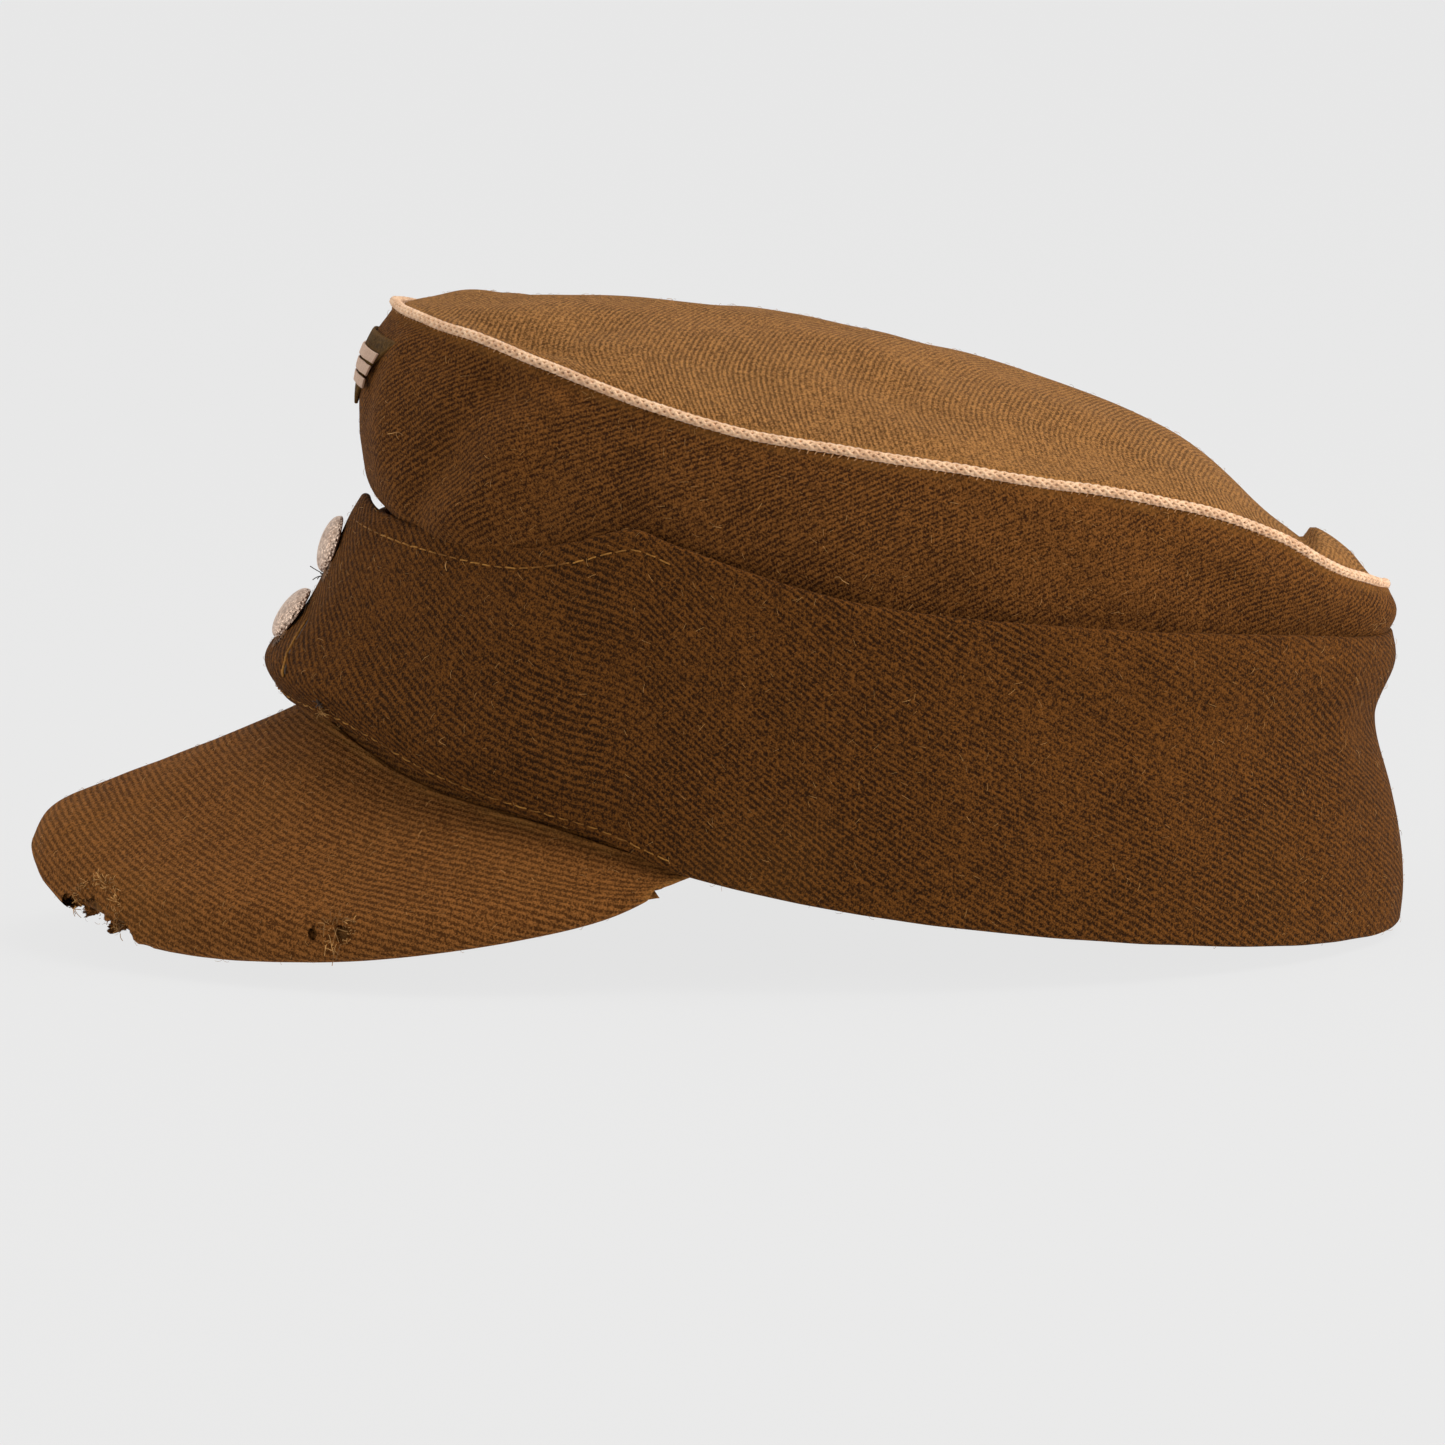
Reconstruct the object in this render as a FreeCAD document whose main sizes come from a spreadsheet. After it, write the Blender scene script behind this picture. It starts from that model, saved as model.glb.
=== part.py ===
import FreeCAD, Part
import math
import os
import Sketcher
from FreeCAD import Placement, Rotation, Vector

# A soft cloth field cap with a stiff peak and a turned-up flap whose two front tabs button together.
# Millimetres. +Z is up, -Y is the front (the peak), +X is the wearer's left.
# The origin is on the resting plane, midway between the peak's tip and the back of the flap.

doc = FreeCAD.newDocument("peaked_cap")

# ---------------------------------------------------------------------------------------------------
# Driving dimensions
# ---------------------------------------------------------------------------------------------------

SIZES = {
    "rim_front": -64.3,  # plan ellipse of the seam between the top and the sides of the crown
    "rim_back": 138.6,
    "rim_half_width": 73.0,
    "piping_dia": 2.4,
    "top_thick": 1.4,
    "cloth_thick": 1.4,  # wool cloth of the crown and of the flap's outer layer
    "facing_thick": 0.7,  # thinner cloth on the flap's hidden side
    "layer_gap": 0.25,  # between two layers sewn together
    "lining_gap": 0.8,  # the lining and the stiffener hang loose inside the crown
    "top_lining_gap": 0.6,
    "top_lining_inset": 6.5,  # how far the top's lining stops short of the rim
    "interlining_thick": 0.7,
    "lining_thick": 0.5,
    "sweatband_thick": 1.2,
    "sweatband_height": 0.34,  # share of the crown's side height
    "band_thick": 1.2,
    "temple_angle": 73.5,  # where the peak ends, round from the front centre
    "temple_y": -5.0,  # the upright line where the flap's tabs begin, and about which they swing
    "temple_gap": 0.5,  # degrees left open between a tab and the flap's side
    "overlap_reach": 9.0,  # how far each tab passes the front centre
    "under_depth": 3.1,  # how far the right tab lies behind the left one
    "peak_cloth_thick": 0.9,
    "peak_board_thick": 1.7,
    "peak_lining_thick": 0.7,
    "peak_gap": 0.45,
    "button_dia": 12.0,
    "button_rise": 3.1,
    "button_wall": 0.45,
    "button_back_thick": 0.6,
    "button_back_inset": 0.6,  # the back plate is this much smaller than the dome all round
    "button_clear": 1.3,  # from the left tab's face to the back plate
    "loop_radius": 2.2,
    "loop_wire": 0.4,
    "loop_sink": 0.02,  # the loop's ends are soldered this deep into the plate
    "thread_radius": 1.3,
    "thread_wire": 0.35,
    "thread_clear": 0.1,  # between the thread ring and the right tab
    "upper_button_z": 80.3,
    "upper_button_tilt": 20.0,  # degrees that a button looks up
    "lower_button_z": 65.8,
    "lower_button_tilt": 37.0,
    "buttonhole_length": 15.0,
    "buttonhole_start": -1.3,  # its inner end, measured from the button's axis
    "buttonhole_width": 3.8,
    "buttonhole_edge": 1.2,
    "buttonhole_thick": 0.25,
    "buttonhole_lift": 0.02,  # the worked edge lies this far off the cloth
    "badge_thick": 0.7,
    "badge_bar_thick": 0.4,
    "badge_half_top": 26.0,
    "badge_half_bottom": 4.0,
}

sheet = doc.addObject("Spreadsheet::Sheet", "Sizes")
for row, (alias, value) in enumerate(SIZES.items(), start=1):
    sheet.set("A%d" % row, alias)
    sheet.set("B%d" % row, str(value))
    sheet.setAlias("B%d" % row, alias)
doc.recompute()


def size(alias):
    return float(sheet.get(alias))


# ---------------------------------------------------------------------------------------------------
# Side-view curves: the height of an edge of the cap at each place along its length
# ---------------------------------------------------------------------------------------------------

RIM_HEIGHT = [(-64.3, 130.4), (-46, 126.2), (-21, 117.7), (5, 109.9), (50, 102.2), (90, 94.3),
              (112, 86.5), (124, 78.8), (138.6, 71.0)]
TOP_DOME = [(-64.3, 0.0), (-47, 4.0), (-22, 12.5), (2, 17.6), (20, 18.8), (52, 16.0), (82, 12.8),
            (100, 8.0), (114, 0.5), (126, 0.0), (138.6, 0.0)]
CROWN_LOW_HEIGHT = [(-80, 48.0), (-58, 37.5), (-33, 31.5), (-5, 24.0), (36, 16.0), (84, 9.5),
                    (122, 5.6), (137, 4.6)]
FLAP_TOP_HEIGHT = [(-71, 90.7), (-52, 87.8), (-38, 86.5), (-26, 88.6), (-15, 91.6), (-8, 89.2),
                   (17, 80.8), (37, 76.3), (76, 71.5), (117, 66.9), (139.6, 62.4)]
FLAP_LOW_HEIGHT = [(-88, 49.6), (-72, 46.0), (-57, 39.2), (-42, 33.8), (-23, 28.9), (-5, 22.0),
                   (36, 13.4), (84, 6.6), (121, 1.9), (141.5, 0.0)]


def along(curve, y):
    """Height at y on a smooth line through the curve's points, straight beyond its ends."""
    n = len(curve)
    i = 0
    while i < n - 2 and y > curve[i + 1][0]:
        i += 1
    (y0, z0), (y1, z1) = curve[i], curve[i + 1]
    chord = (z1 - z0) / (y1 - y0)
    before = chord
    after = chord
    if i > 0:
        before = (z1 - curve[i - 1][1]) / (y1 - curve[i - 1][0])
    if i < n - 2:
        after = (curve[i + 2][1] - z0) / (curve[i + 2][0] - y0)
    if y <= curve[0][0] or y >= curve[-1][0]:
        end = curve[0] if y <= curve[0][0] else curve[-1]
        slope = before if y <= curve[0][0] else after
        return end[1] + slope * (y - end[0])
    f = (y - y0) / (y1 - y0)
    span = y1 - y0
    return (
        z0 * (1 + 2 * f) * (1 - f) ** 2
        + z1 * f * f * (3 - 2 * f)
        + span * before * f * (1 - f) ** 2
        - span * after * f * f * (1 - f)
    )


def smooth(f):
    """0 to 1 with level ends."""
    f = min(1.0, max(0.0, f))
    return f * f * (3 - 2 * f)


# ---------------------------------------------------------------------------------------------------
# The three bent surfaces that the cloth follows: crown side, flap and peak
# ---------------------------------------------------------------------------------------------------

# Plan ellipses at shares of the height, from the upper edge (0) to the lower edge (1):
# share, front end, back end, half width.
CROWN_RINGS = [
    (0.0, size("rim_front"), size("rim_back"), size("rim_half_width")),
    (0.08, -68.6, 139.0, 75.6),
    (0.17, -71.2, 134.8, 77.0),
    (0.30, -71.3, 132.2, 76.5),
    (0.40, -68.8, 130.0, 76.0),
    (0.48, -64.4, 130.2, 76.0),
    (0.70, -68.4, 133.5, 76.8),
    (1.0, -79.4, 136.6, 76.6),
]
FLAP_RINGS = [
    (0.0, -71.0, 139.6, 80.8),
    (0.12, -74.2, 140.6, 81.4),
    (0.30, -77.8, 136.4, 81.8),
    (0.55, -83.4, 139.6, 82.0),
    (0.80, -92.0, 142.2, 82.0),
    (1.0, -88.2, 141.6, 81.4),
]


def ring_at(rings, share):
    """The plan ellipse's centre y, half length and half width at a share of the height."""
    front = along([(s, f) for s, f, b, w in rings], share)
    back = along([(s, b) for s, f, b, w in rings], share)
    width = along([(s, w) for s, f, b, w in rings], share)
    return (front + back) / 2, (back - front) / 2, width


def wall_point(rings, high, low, side, angle, share):
    """A point of a wall that goes round the head: angle 0 at the front centre, 180 at the back."""
    middle, half_length, half_width = ring_at(rings, share)
    a = math.radians(angle)
    x = half_width * math.sin(a) * side
    y = middle - half_length * math.cos(a)
    top_middle, top_half, _ = ring_at(rings, 0.0)
    low_middle, low_half, _ = ring_at(rings, 1.0)
    top_z = along(high, top_middle - top_half * math.cos(a))
    low_z = along(low, low_middle - low_half * math.cos(a))
    return Vector(x, y, top_z + share * (low_z - top_z))


def crown_point(side, angle, share):
    p = wall_point(CROWN_RINGS, RIM_HEIGHT, CROWN_LOW_HEIGHT, side, angle, share)
    seam_room = (size("piping_dia") / 2 + size("layer_gap")) * (1 - smooth(share / 0.1))
    return p - Vector(0, 0, seam_room)


def flap_point(side, angle, share):
    """The temple angle is stretched at each height, so that the tabs begin on one upright line."""
    middle, half_length, _ = ring_at(FLAP_RINGS, share)
    temple_here = math.degrees(math.acos((middle - size("temple_y")) / half_length))
    nominal = size("temple_angle")
    if angle <= nominal:
        turned = angle * temple_here / nominal
    else:
        turned = 180 - (180 - angle) * (180 - temple_here) / (180 - nominal)
    return wall_point(FLAP_RINGS, FLAP_TOP_HEIGHT, FLAP_LOW_HEIGHT, side, turned, share)


def rim_point(angle):
    middle = (size("rim_front") + size("rim_back")) / 2
    half_length = (size("rim_back") - size("rim_front")) / 2
    a = math.radians(angle)
    y = middle - half_length * math.cos(a)
    return Vector(size("rim_half_width") * math.sin(a), y, along(RIM_HEIGHT, y))


def top_point(x, y):
    middle = (size("rim_front") + size("rim_back")) / 2
    half_length = (size("rim_back") - size("rim_front")) / 2
    out = (x / size("rim_half_width")) ** 2
    along_axis = 1 - ((y - middle) / half_length) ** 2
    spread = out / max(along_axis, 0.12)
    return Vector(x, y, along(RIM_HEIGHT, y) + along(TOP_DOME, y) * (1 - min(spread, 1.6)))


# The peak's free edge, from the front centre to the temple: x, y, z of its upper skin.
PEAK_EDGE = [(0, -141.9, 16.0), (14, -140.2, 13.4), (28, -134.2, 7.9), (42, -123.5, 3.9), (56, -107.5, 2.1),
             (70, -84, 3.4), (79, -58, 6.9), (81, -34, 11.8), (79.6, -18, 16.8), (78.4, -12, 19.6)]
# How far out and how far down the peak's skin has gone at shares of the way from seam to edge.
PEAK_OUT = [(0.0, 0.0), (0.25, 0.25), (0.5, 0.5), (0.75, 0.76), (0.9, 0.93), (1.0, 1.0)]
PEAK_DOWN = [(0.0, 0.0), (0.25, 0.19), (0.5, 0.38), (0.75, 0.56), (0.9, 0.72), (1.0, 1.0)]

peak_edge_curve = Part.BSplineCurve()
other_side = [Vector(-x, y, z) for x, y, z in reversed(PEAK_EDGE[1:])]
peak_edge_curve.interpolate(other_side + [Vector(*p) for p in PEAK_EDGE])
PEAK_EDGE_HALF = peak_edge_curve.length() / 2


def peak_point(side, angle, share):
    """angle as round the crown, share 0 at the seam with the band and 1 at the free edge."""
    way = abs(angle) / size("temple_angle")
    band_out = size("band_thick") + size("layer_gap") * 3
    seam = shifted(crown_point, side, abs(angle), 1.0, -band_out)
    edge = peak_edge_curve.value(peak_edge_curve.parameterAtDistance((1 + way) * PEAK_EDGE_HALF))
    edge = Vector(edge.x * side, edge.y, edge.z)
    out = along(PEAK_OUT, share)
    down = along(PEAK_DOWN, share)
    return Vector(
        seam.x + (edge.x - seam.x) * out,
        seam.y + (edge.y - seam.y) * out,
        seam.z + (edge.z - seam.z) * down,
    )


def normal_at(surface, side, angle, share):
    """Outward (or upward) unit normal of one of the surfaces above."""
    step_a = 0.4
    step_s = 0.01
    back = surface(side, angle - step_a, share) if angle >= step_a else None
    ahead = surface(side, angle + step_a, share)
    if back is None:
        # across the front centre the surface is symmetric, so the run there is straight across
        run = Vector(side, 0, 0)
    elif angle > 180 - step_a:
        run = Vector(-side, 0, 0)
    else:
        run = ahead - back
    fall = surface(side, angle, min(1.0, share + step_s)) - surface(side, angle, max(0.0, share - step_s))
    n = run.cross(fall) * side
    n.normalize()
    return n * -1


def shifted(surface, side, angle, share, depth):
    """The surface's point moved inwards (or down) by a depth."""
    return surface(side, angle, share) - normal_at(surface, side, angle, share) * depth


# ---------------------------------------------------------------------------------------------------
# Turning surfaces into solid layers of cloth
# ---------------------------------------------------------------------------------------------------


def spread(low, high, count):
    return [low + (high - low) * i / (count - 1) for i in range(count)]


def solid_between(outer, inner):
    """A closed solid between two grids of points of the same size."""
    skins = []
    for grid in (outer, inner):
        skin = Part.BSplineSurface()
        skin.interpolate(grid)
        skins.append(skin)
    faces = [skin.toShape() for skin in skins]
    u0, u1, v0, v1 = skins[0].bounds()
    w0, w1, q0, q1 = skins[1].bounds()
    rims = [
        (skins[0].uIso(u0), skins[1].uIso(w0)),
        (skins[0].uIso(u1), skins[1].uIso(w1)),
        (skins[0].vIso(v0), skins[1].vIso(q0)),
        (skins[0].vIso(v1), skins[1].vIso(q1)),
    ]
    for a, b in rims:
        faces.append(Part.makeRuledSurface(a.toShape(), b.toShape()))
    shell = Part.makeShell(faces)
    shell.sewShape()
    solid = Part.makeSolid(Part.Shell(shell.Faces))
    if solid.Volume < 0:
        solid.reverse()
    return solid


def cloth(surface, angles, shares, top, bottom, extra=None):
    """A layer of a surface. Angles may be negative, for the wearer's right. Depths run inwards."""
    grids = []
    for depth in (top, bottom):
        grid = []
        for angle in angles:
            side = -1 if angle < 0 else 1
            more = extra(angle) if extra else 0.0
            line = [shifted(surface, side, abs(angle), share, depth + more) for share in shares]
            grid.append(line)
        grids.append(grid)
    return solid_between(*grids)


def top_layer(top, bottom, inset):
    """A layer of the crown's top, cut to the rim's ellipse less an inset."""
    xs = spread(-78.0, 78.0, 15)
    ys = spread(-74.0, 148.0, 23)
    grids = []
    for depth in (top, bottom):
        grids.append([[top_point(x, y) - Vector(0, 0, depth) for y in ys] for x in xs])
    slab = solid_between(*grids)
    middle = (size("rim_front") + size("rim_back")) / 2
    long_half = (size("rim_back") - size("rim_front")) / 2 - inset
    short_half = size("rim_half_width") - inset
    ellipse = Part.Ellipse(Vector(0, middle + long_half, 0), Vector(short_half, middle, 0), Vector(0, middle, 0))
    prism = Part.Face(Part.Wire(ellipse.toShape())).extrude(Vector(0, 0, 200))
    return slab.common(prism).Solids[0]


subparts = []


def keep_shape(label, shape):
    """A sub-part whose free-form shape no primitive or feature can give."""
    obj = doc.addObject("Part::Feature", label)
    obj.Label = label
    obj.Shape = shape
    obj.Placement = Placement()
    subparts.append(obj)
    return obj


def keep_object(label, obj, placement=None):
    obj.Label = label
    if placement is not None:
        obj.Placement = placement
    subparts.append(obj)
    return obj


# ---------------------------------------------------------------------------------------------------
# Crown: top, two sides, piping, interlining and lining
# ---------------------------------------------------------------------------------------------------

cloth_thick = size("cloth_thick")
gap = size("layer_gap")
piping_radius = size("piping_dia") / 2
temple = size("temple_angle")

keep_shape("crown_top_panel", top_layer(0.0, size("top_thick"), piping_radius + gap))

SIDE_ANGLES = spread(0, 180, 25)
SIDE_SHARES = spread(0.0, 1.0, 15)
for word, sign in (("left", 1), ("right", -1)):
    angles = [max(a, 0.0001) * sign for a in SIDE_ANGLES]
    keep_shape("crown_side_" + word, cloth(crown_point, angles, SIDE_SHARES, 0.0, cloth_thick))


def cord_round_rim(radius, stations, around):
    """The piping: round rings of points set square to the rim, joined into one closed skin."""
    grid = []
    for angle in spread(0, 360, stations):
        middle = rim_point(angle)
        way = rim_point(angle + 0.5) - rim_point(angle - 0.5)
        out = way.cross(Vector(0, 0, 1)).normalize()
        up = out.cross(way).normalize()
        turn = [math.radians(k) for k in spread(0, 360, around)]
        grid.append([middle + out * (radius * math.cos(k)) + up * (radius * math.sin(k)) for k in turn])
    grid[-1] = grid[0]
    skin = Part.BSplineSurface()
    skin.interpolate(grid)
    shell = Part.makeShell([skin.toShape()])
    shell.sewShape()
    cord = Part.makeSolid(Part.Shell(shell.Faces))
    if cord.Volume < 0:
        cord.reverse()
    return cord


keep_shape("crown_piping", cord_round_rim(piping_radius, 49, 13))

interlining_top = cloth_thick + size("lining_gap")
interlining_bottom = interlining_top + size("interlining_thick")
keep_shape(
    "front_interlining",
    cloth(crown_point, spread(-42, 42, 13), spread(0.1, 0.4, 7), interlining_top, interlining_bottom),
)

lining_top_depth = interlining_bottom + size("lining_gap")
lining_bottom_depth = lining_top_depth + size("lining_thick")
for word, sign in (("left", 1), ("right", -1)):
    angles = [max(a, 0.0001) * sign for a in SIDE_ANGLES]
    shares = spread(0.1, 0.96, 13)
    keep_shape("lining_" + word, cloth(crown_point, angles, shares, lining_top_depth, lining_bottom_depth))
top_lining_depth = size("top_thick") + size("top_lining_gap")
keep_shape(
    "lining_top",
    top_layer(top_lining_depth, top_lining_depth + size("lining_thick"), size("top_lining_inset")),
)

sweat_top = lining_bottom_depth + size("lining_gap")
sweat_bottom = sweat_top + size("sweatband_thick")
sweat_shares = spread(1 - size("sweatband_height"), 0.99, 5)
keep_shape("sweatband", cloth(crown_point, spread(-179.4, 179.4, 49), sweat_shares, sweat_top, sweat_bottom))

# ---------------------------------------------------------------------------------------------------
# Band strip above the peak, and the peak's three layers
# ---------------------------------------------------------------------------------------------------

band_top = -gap - size("band_thick")
keep_shape("front_band", cloth(crown_point, spread(-temple, temple, 25), spread(0.66, 1.0, 5), band_top, -gap))

PEAK_ANGLES = spread(-temple, temple, 29)
peak_layers = [
    ("peak_top_cloth", "peak_cloth_thick"),
    ("peak_board", "peak_board_thick"),
    ("peak_under_cloth", "peak_lining_thick"),
]
depth = 0.0
for label, thick_alias in peak_layers:
    keep_shape(label, cloth(peak_point, PEAK_ANGLES, spread(0, 1, 13), depth, depth + size(thick_alias)))
    depth += size(thick_alias) + size("peak_gap")

# ---------------------------------------------------------------------------------------------------
# Flap: two sides that are sewn to the cap, and two front tabs that swing out when unbuttoned
# ---------------------------------------------------------------------------------------------------

facing_top = cloth_thick + gap
facing_bottom = facing_top + size("facing_thick")
flap_shares = spread(0.0, 1.0, 13)
facing_shares = spread(0.015, 0.985, 13)
reach_angle = math.degrees(math.asin(size("overlap_reach") / FLAP_RINGS[0][3]))


DIVE_START = 46.0  # degrees from the front centre where the right tab begins to go under
DIVE_RUN = 26.0


def under_tab_depth(angle):
    """The right tab runs level with the flap's side at the temple and dives behind the left tab."""
    past = DIVE_START - abs(angle) if angle < 0 else DIVE_START
    return size("under_depth") * smooth(past / DIVE_RUN)


for word, sign in (("left", 1), ("right", -1)):
    angles = [a * sign for a in spread(temple + size("temple_gap"), 180, 21)]
    keep_shape(word + "_flap_side", cloth(flap_point, angles, flap_shares, 0.0, cloth_thick))
    keep_shape(word + "_flap_side_facing", cloth(flap_point, angles, facing_shares, facing_top, facing_bottom))


def tab_angles(sign):
    return [a * sign for a in spread(-reach_angle, temple - size("temple_gap"), 19)]


def tab_layer(sign, shares, top, bottom, extra=None):
    return cloth(flap_point, tab_angles(sign), shares, top, bottom, extra)


# ---------------------------------------------------------------------------------------------------
# Buttons: a domed front shell, a back plate, a wire loop and a thread ring, on the right tab
# ---------------------------------------------------------------------------------------------------


def button_seat(height):
    """Where the left tab's outer face is at the front centre at a height."""
    low, high = 0.0, 1.0
    for _ in range(40):
        middle = (low + high) / 2
        if flap_point(1, 0, middle).z > height:
            low = middle
        else:
            high = middle
    return flap_point(1, 0, (low + high) / 2)


def seat_placement(word):
    """Local z points out of the tab along the button's axis and local x across the cap."""
    tilt = math.radians(size(word + "_button_tilt"))
    facing = Vector(0, -math.cos(tilt), math.sin(tilt))
    point = button_seat(size(word + "_button_z"))
    across = Vector(1, 0, 0)
    up_slope = facing.cross(across)
    return Placement(point, Rotation(across, up_slope, facing, "ZXY"))


def origin_plane(body, role):
    for feature in body.Origin.OriginFeatures:
        if feature.Role == role:
            return feature


def revolved_body(label, outline, joins, bindings):
    """A body turned about its own z axis from a closed outline in its XZ plane.

    outline is a list of sketch geometry and joins says which ends meet. Each binding is a
    constraint's kind, its arguments and the sheet expression that sets it, if any."""
    body = doc.addObject("PartDesign::Body", label)
    sketch = body.newObject("Sketcher::SketchObject", label + "_outline")
    sketch.AttachmentSupport = [(origin_plane(body, "XZ_Plane"), "")]
    sketch.MapMode = "FlatFace"
    sketch.addGeometry(outline, False)
    for first, first_end, second, second_end in joins:
        sketch.addConstraint(Sketcher.Constraint("Coincident", first, first_end, second, second_end))
    for n, (kind, args, expression) in enumerate(bindings):
        index = sketch.addConstraint(Sketcher.Constraint(kind, *args))
        if expression:
            sketch.renameConstraint(index, "size_%d" % n)
            sketch.setExpression("Constraints.size_%d" % n, expression)
    turned = body.newObject("PartDesign::Revolution", label + "_turned")
    turned.Profile = sketch
    turned.ReferenceAxis = (sketch, ["V_Axis"])
    turned.Angle = 360
    return body


button_radius = size("button_dia") / 2
button_rise = size("button_rise")
plate = size("button_back_thick")


def button_dome(label):
    """A thin pressed shell: two concentric arcs about a centre on the axis, closed at the rim."""
    wall = size("button_wall")
    base = size("button_clear") + plate
    crown = base + button_rise
    bend = (button_radius ** 2 + button_rise ** 2) / (2 * button_rise)
    centre = crown - bend
    half_turn = math.asin(button_radius / bend) / 2
    inner = bend - wall

    def on_arc(radius, turn):
        return Vector(radius * math.sin(turn), centre + radius * math.cos(turn), 0)

    rim_in = Vector(math.sqrt(inner ** 2 - (base - centre) ** 2), base, 0)
    outline = [
        Part.LineSegment(rim_in, on_arc(bend, 2 * half_turn)),
        Part.Arc(on_arc(bend, 2 * half_turn), on_arc(bend, half_turn), on_arc(bend, 0)),
        Part.LineSegment(on_arc(bend, 0), on_arc(inner, 0)),
        Part.Arc(on_arc(inner, 0), on_arc(inner, half_turn), rim_in),
    ]
    bindings = [
        ("Horizontal", (0,), None),
        ("PointOnObject", (1, 3, -2), None),
        ("Coincident", (1, 3, 3, 3), None),
        ("PointOnObject", (2, 1, -2), None),
        ("PointOnObject", (2, 2, -2), None),
        ("DistanceX", (-1, 1, 0, 2, button_radius), "Sizes.button_dia / 2"),
        ("DistanceY", (-1, 1, 0, 2, base), "Sizes.button_clear + Sizes.button_back_thick"),
        ("DistanceY", (-1, 1, 2, 1, crown),
         "Sizes.button_clear + Sizes.button_back_thick + Sizes.button_rise"),
        ("DistanceY", (2, 2, 2, 1, wall), "Sizes.button_wall"),
    ]
    # an arc in a sketch runs anticlockwise, so the inner one starts at the rim
    joins = [(0, 2, 1, 1), (1, 2, 2, 1), (2, 2, 3, 2), (3, 1, 0, 1)]
    return revolved_body(label, outline, joins, bindings)


def disc(label, radius, radius_expression, low, low_expression):
    """A flat round plate, set by its radius and the height of its lower face."""
    body = doc.addObject("PartDesign::Body", label)
    sketch = body.newObject("Sketcher::SketchObject", label + "_round")
    sketch.AttachmentSupport = [(origin_plane(body, "XY_Plane"), "")]
    sketch.MapMode = "FlatFace"
    sketch.addGeometry(Part.Circle(Vector(0, 0, 0), Vector(0, 0, 1), radius), False)
    sketch.addConstraint(Sketcher.Constraint("Coincident", 0, 3, -1, 1))
    sketch.addConstraint(Sketcher.Constraint("Radius", 0, radius))
    sketch.renameConstraint(1, "round_radius")
    sketch.setExpression("Constraints.round_radius", radius_expression)
    sketch.AttachmentOffset = Placement(Vector(0, 0, low), Rotation())
    sketch.setExpression("AttachmentOffset.Base.z", low_expression)
    pad = body.newObject("PartDesign::Pad", label + "_pad")
    pad.Profile = sketch
    pad.Length = plate
    pad.setExpression("Length", "Sizes.button_back_thick")
    return body


def wire_ring(label, ring_expression, wire_expression, local, seat, half):
    """A ring of round wire, whole or half, standing on the button's axis."""
    ring = doc.addObject("Part::Torus", label)
    ring.setExpression("Radius1", ring_expression)
    ring.setExpression("Radius2", wire_expression)
    if half:
        ring.Angle3 = 180
    ring.Placement = seat.multiply(local)
    return ring


seats = {word: seat_placement(word) for word in ("upper", "lower")}
for word, seat in seats.items():
    dome = button_dome(word + "_button_dome")
    keep_object(word + "_button_dome", dome, seat.multiply(Placement(Vector(), Rotation())))
    back = disc(
        word + "_button_back",
        button_radius - size("button_back_inset"),
        "Sizes.button_dia / 2 - Sizes.button_back_inset",
        size("button_clear"),
        "Sizes.button_clear",
    )
    keep_object(word + "_button_back", back, seat.multiply(Placement(Vector(), Rotation())))
    # the loop hangs under the plate, in the plane of the buttonhole
    stand = Rotation(Vector(1, 0, 0), -90)
    loop_height = size("button_clear") - size("loop_sink")
    loop_place = Placement(Vector(0, 0, loop_height), stand)
    loop = wire_ring(word + "_button_loop", "Sizes.loop_radius", "Sizes.loop_wire", loop_place, seat, True)
    keep_object(word + "_button_loop", loop)
    # the thread passes through the loop and down to the right tab
    across = Rotation(Vector(0, 1, 0), 90)
    thread_height = size("thread_clear") + size("thread_wire") + size("thread_radius") - size("under_depth")
    thread_place = Placement(Vector(0, 0, thread_height), across)
    thread = wire_ring(
        word + "_button_thread", "Sizes.thread_radius", "Sizes.thread_wire", thread_place, seat, False
    )
    keep_object(word + "_button_thread", thread)

# ---------------------------------------------------------------------------------------------------
# Tabs with buttonholes in the left one
# ---------------------------------------------------------------------------------------------------

hole_length = size("buttonhole_length")
hole_half = size("buttonhole_width") / 2
HOLE_TURN = -30.0  # degrees: the outer end of each buttonhole lies lower
CUT_BELOW = -6.0  # heights that a cut runs between, well clear of the tab's two layers
CUT_ABOVE = 6.0
EDGE_BELOW = -3.0
EDGE_ABOVE = 3.0


def slot(grow, low, high):
    """A slot with round ends in a button's own frame, from the button's axis outwards."""
    r = hole_half + grow
    start = size("buttonhole_start")
    end = start + hole_length - 2 * hole_half
    pieces = [
        Part.makeCylinder(r, high - low, Vector(start, 0, low)),
        Part.makeCylinder(r, high - low, Vector(end, 0, low)),
        Part.makeBox(end - start, 2 * r, high - low, Vector(start, -r, low)),
    ]
    whole = pieces[0].fuse(pieces[1:]).removeSplitter()
    whole.Placement = Placement(Vector(), Rotation(Vector(0, 0, 1), HOLE_TURN))
    return whole


def placed(shape, placement):
    moved = shape.copy()
    moved.Placement = placement.multiply(moved.Placement)
    return moved


holes = [placed(slot(0.0, CUT_BELOW, EDGE_ABOVE), seat) for seat in seats.values()]
left_outer = tab_layer(1, flap_shares, 0.0, cloth_thick)
left_inner = tab_layer(1, facing_shares, facing_top, facing_bottom)
keep_shape("left_flap_tab", left_outer.cut(holes).Solids[0])
keep_shape("left_flap_tab_facing", left_inner.cut(holes).Solids[0])
keep_shape("right_flap_tab", tab_layer(-1, flap_shares, 0.0, cloth_thick, under_tab_depth))
keep_shape("right_flap_tab_facing", tab_layer(-1, facing_shares, facing_top, facing_bottom, under_tab_depth))

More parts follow.
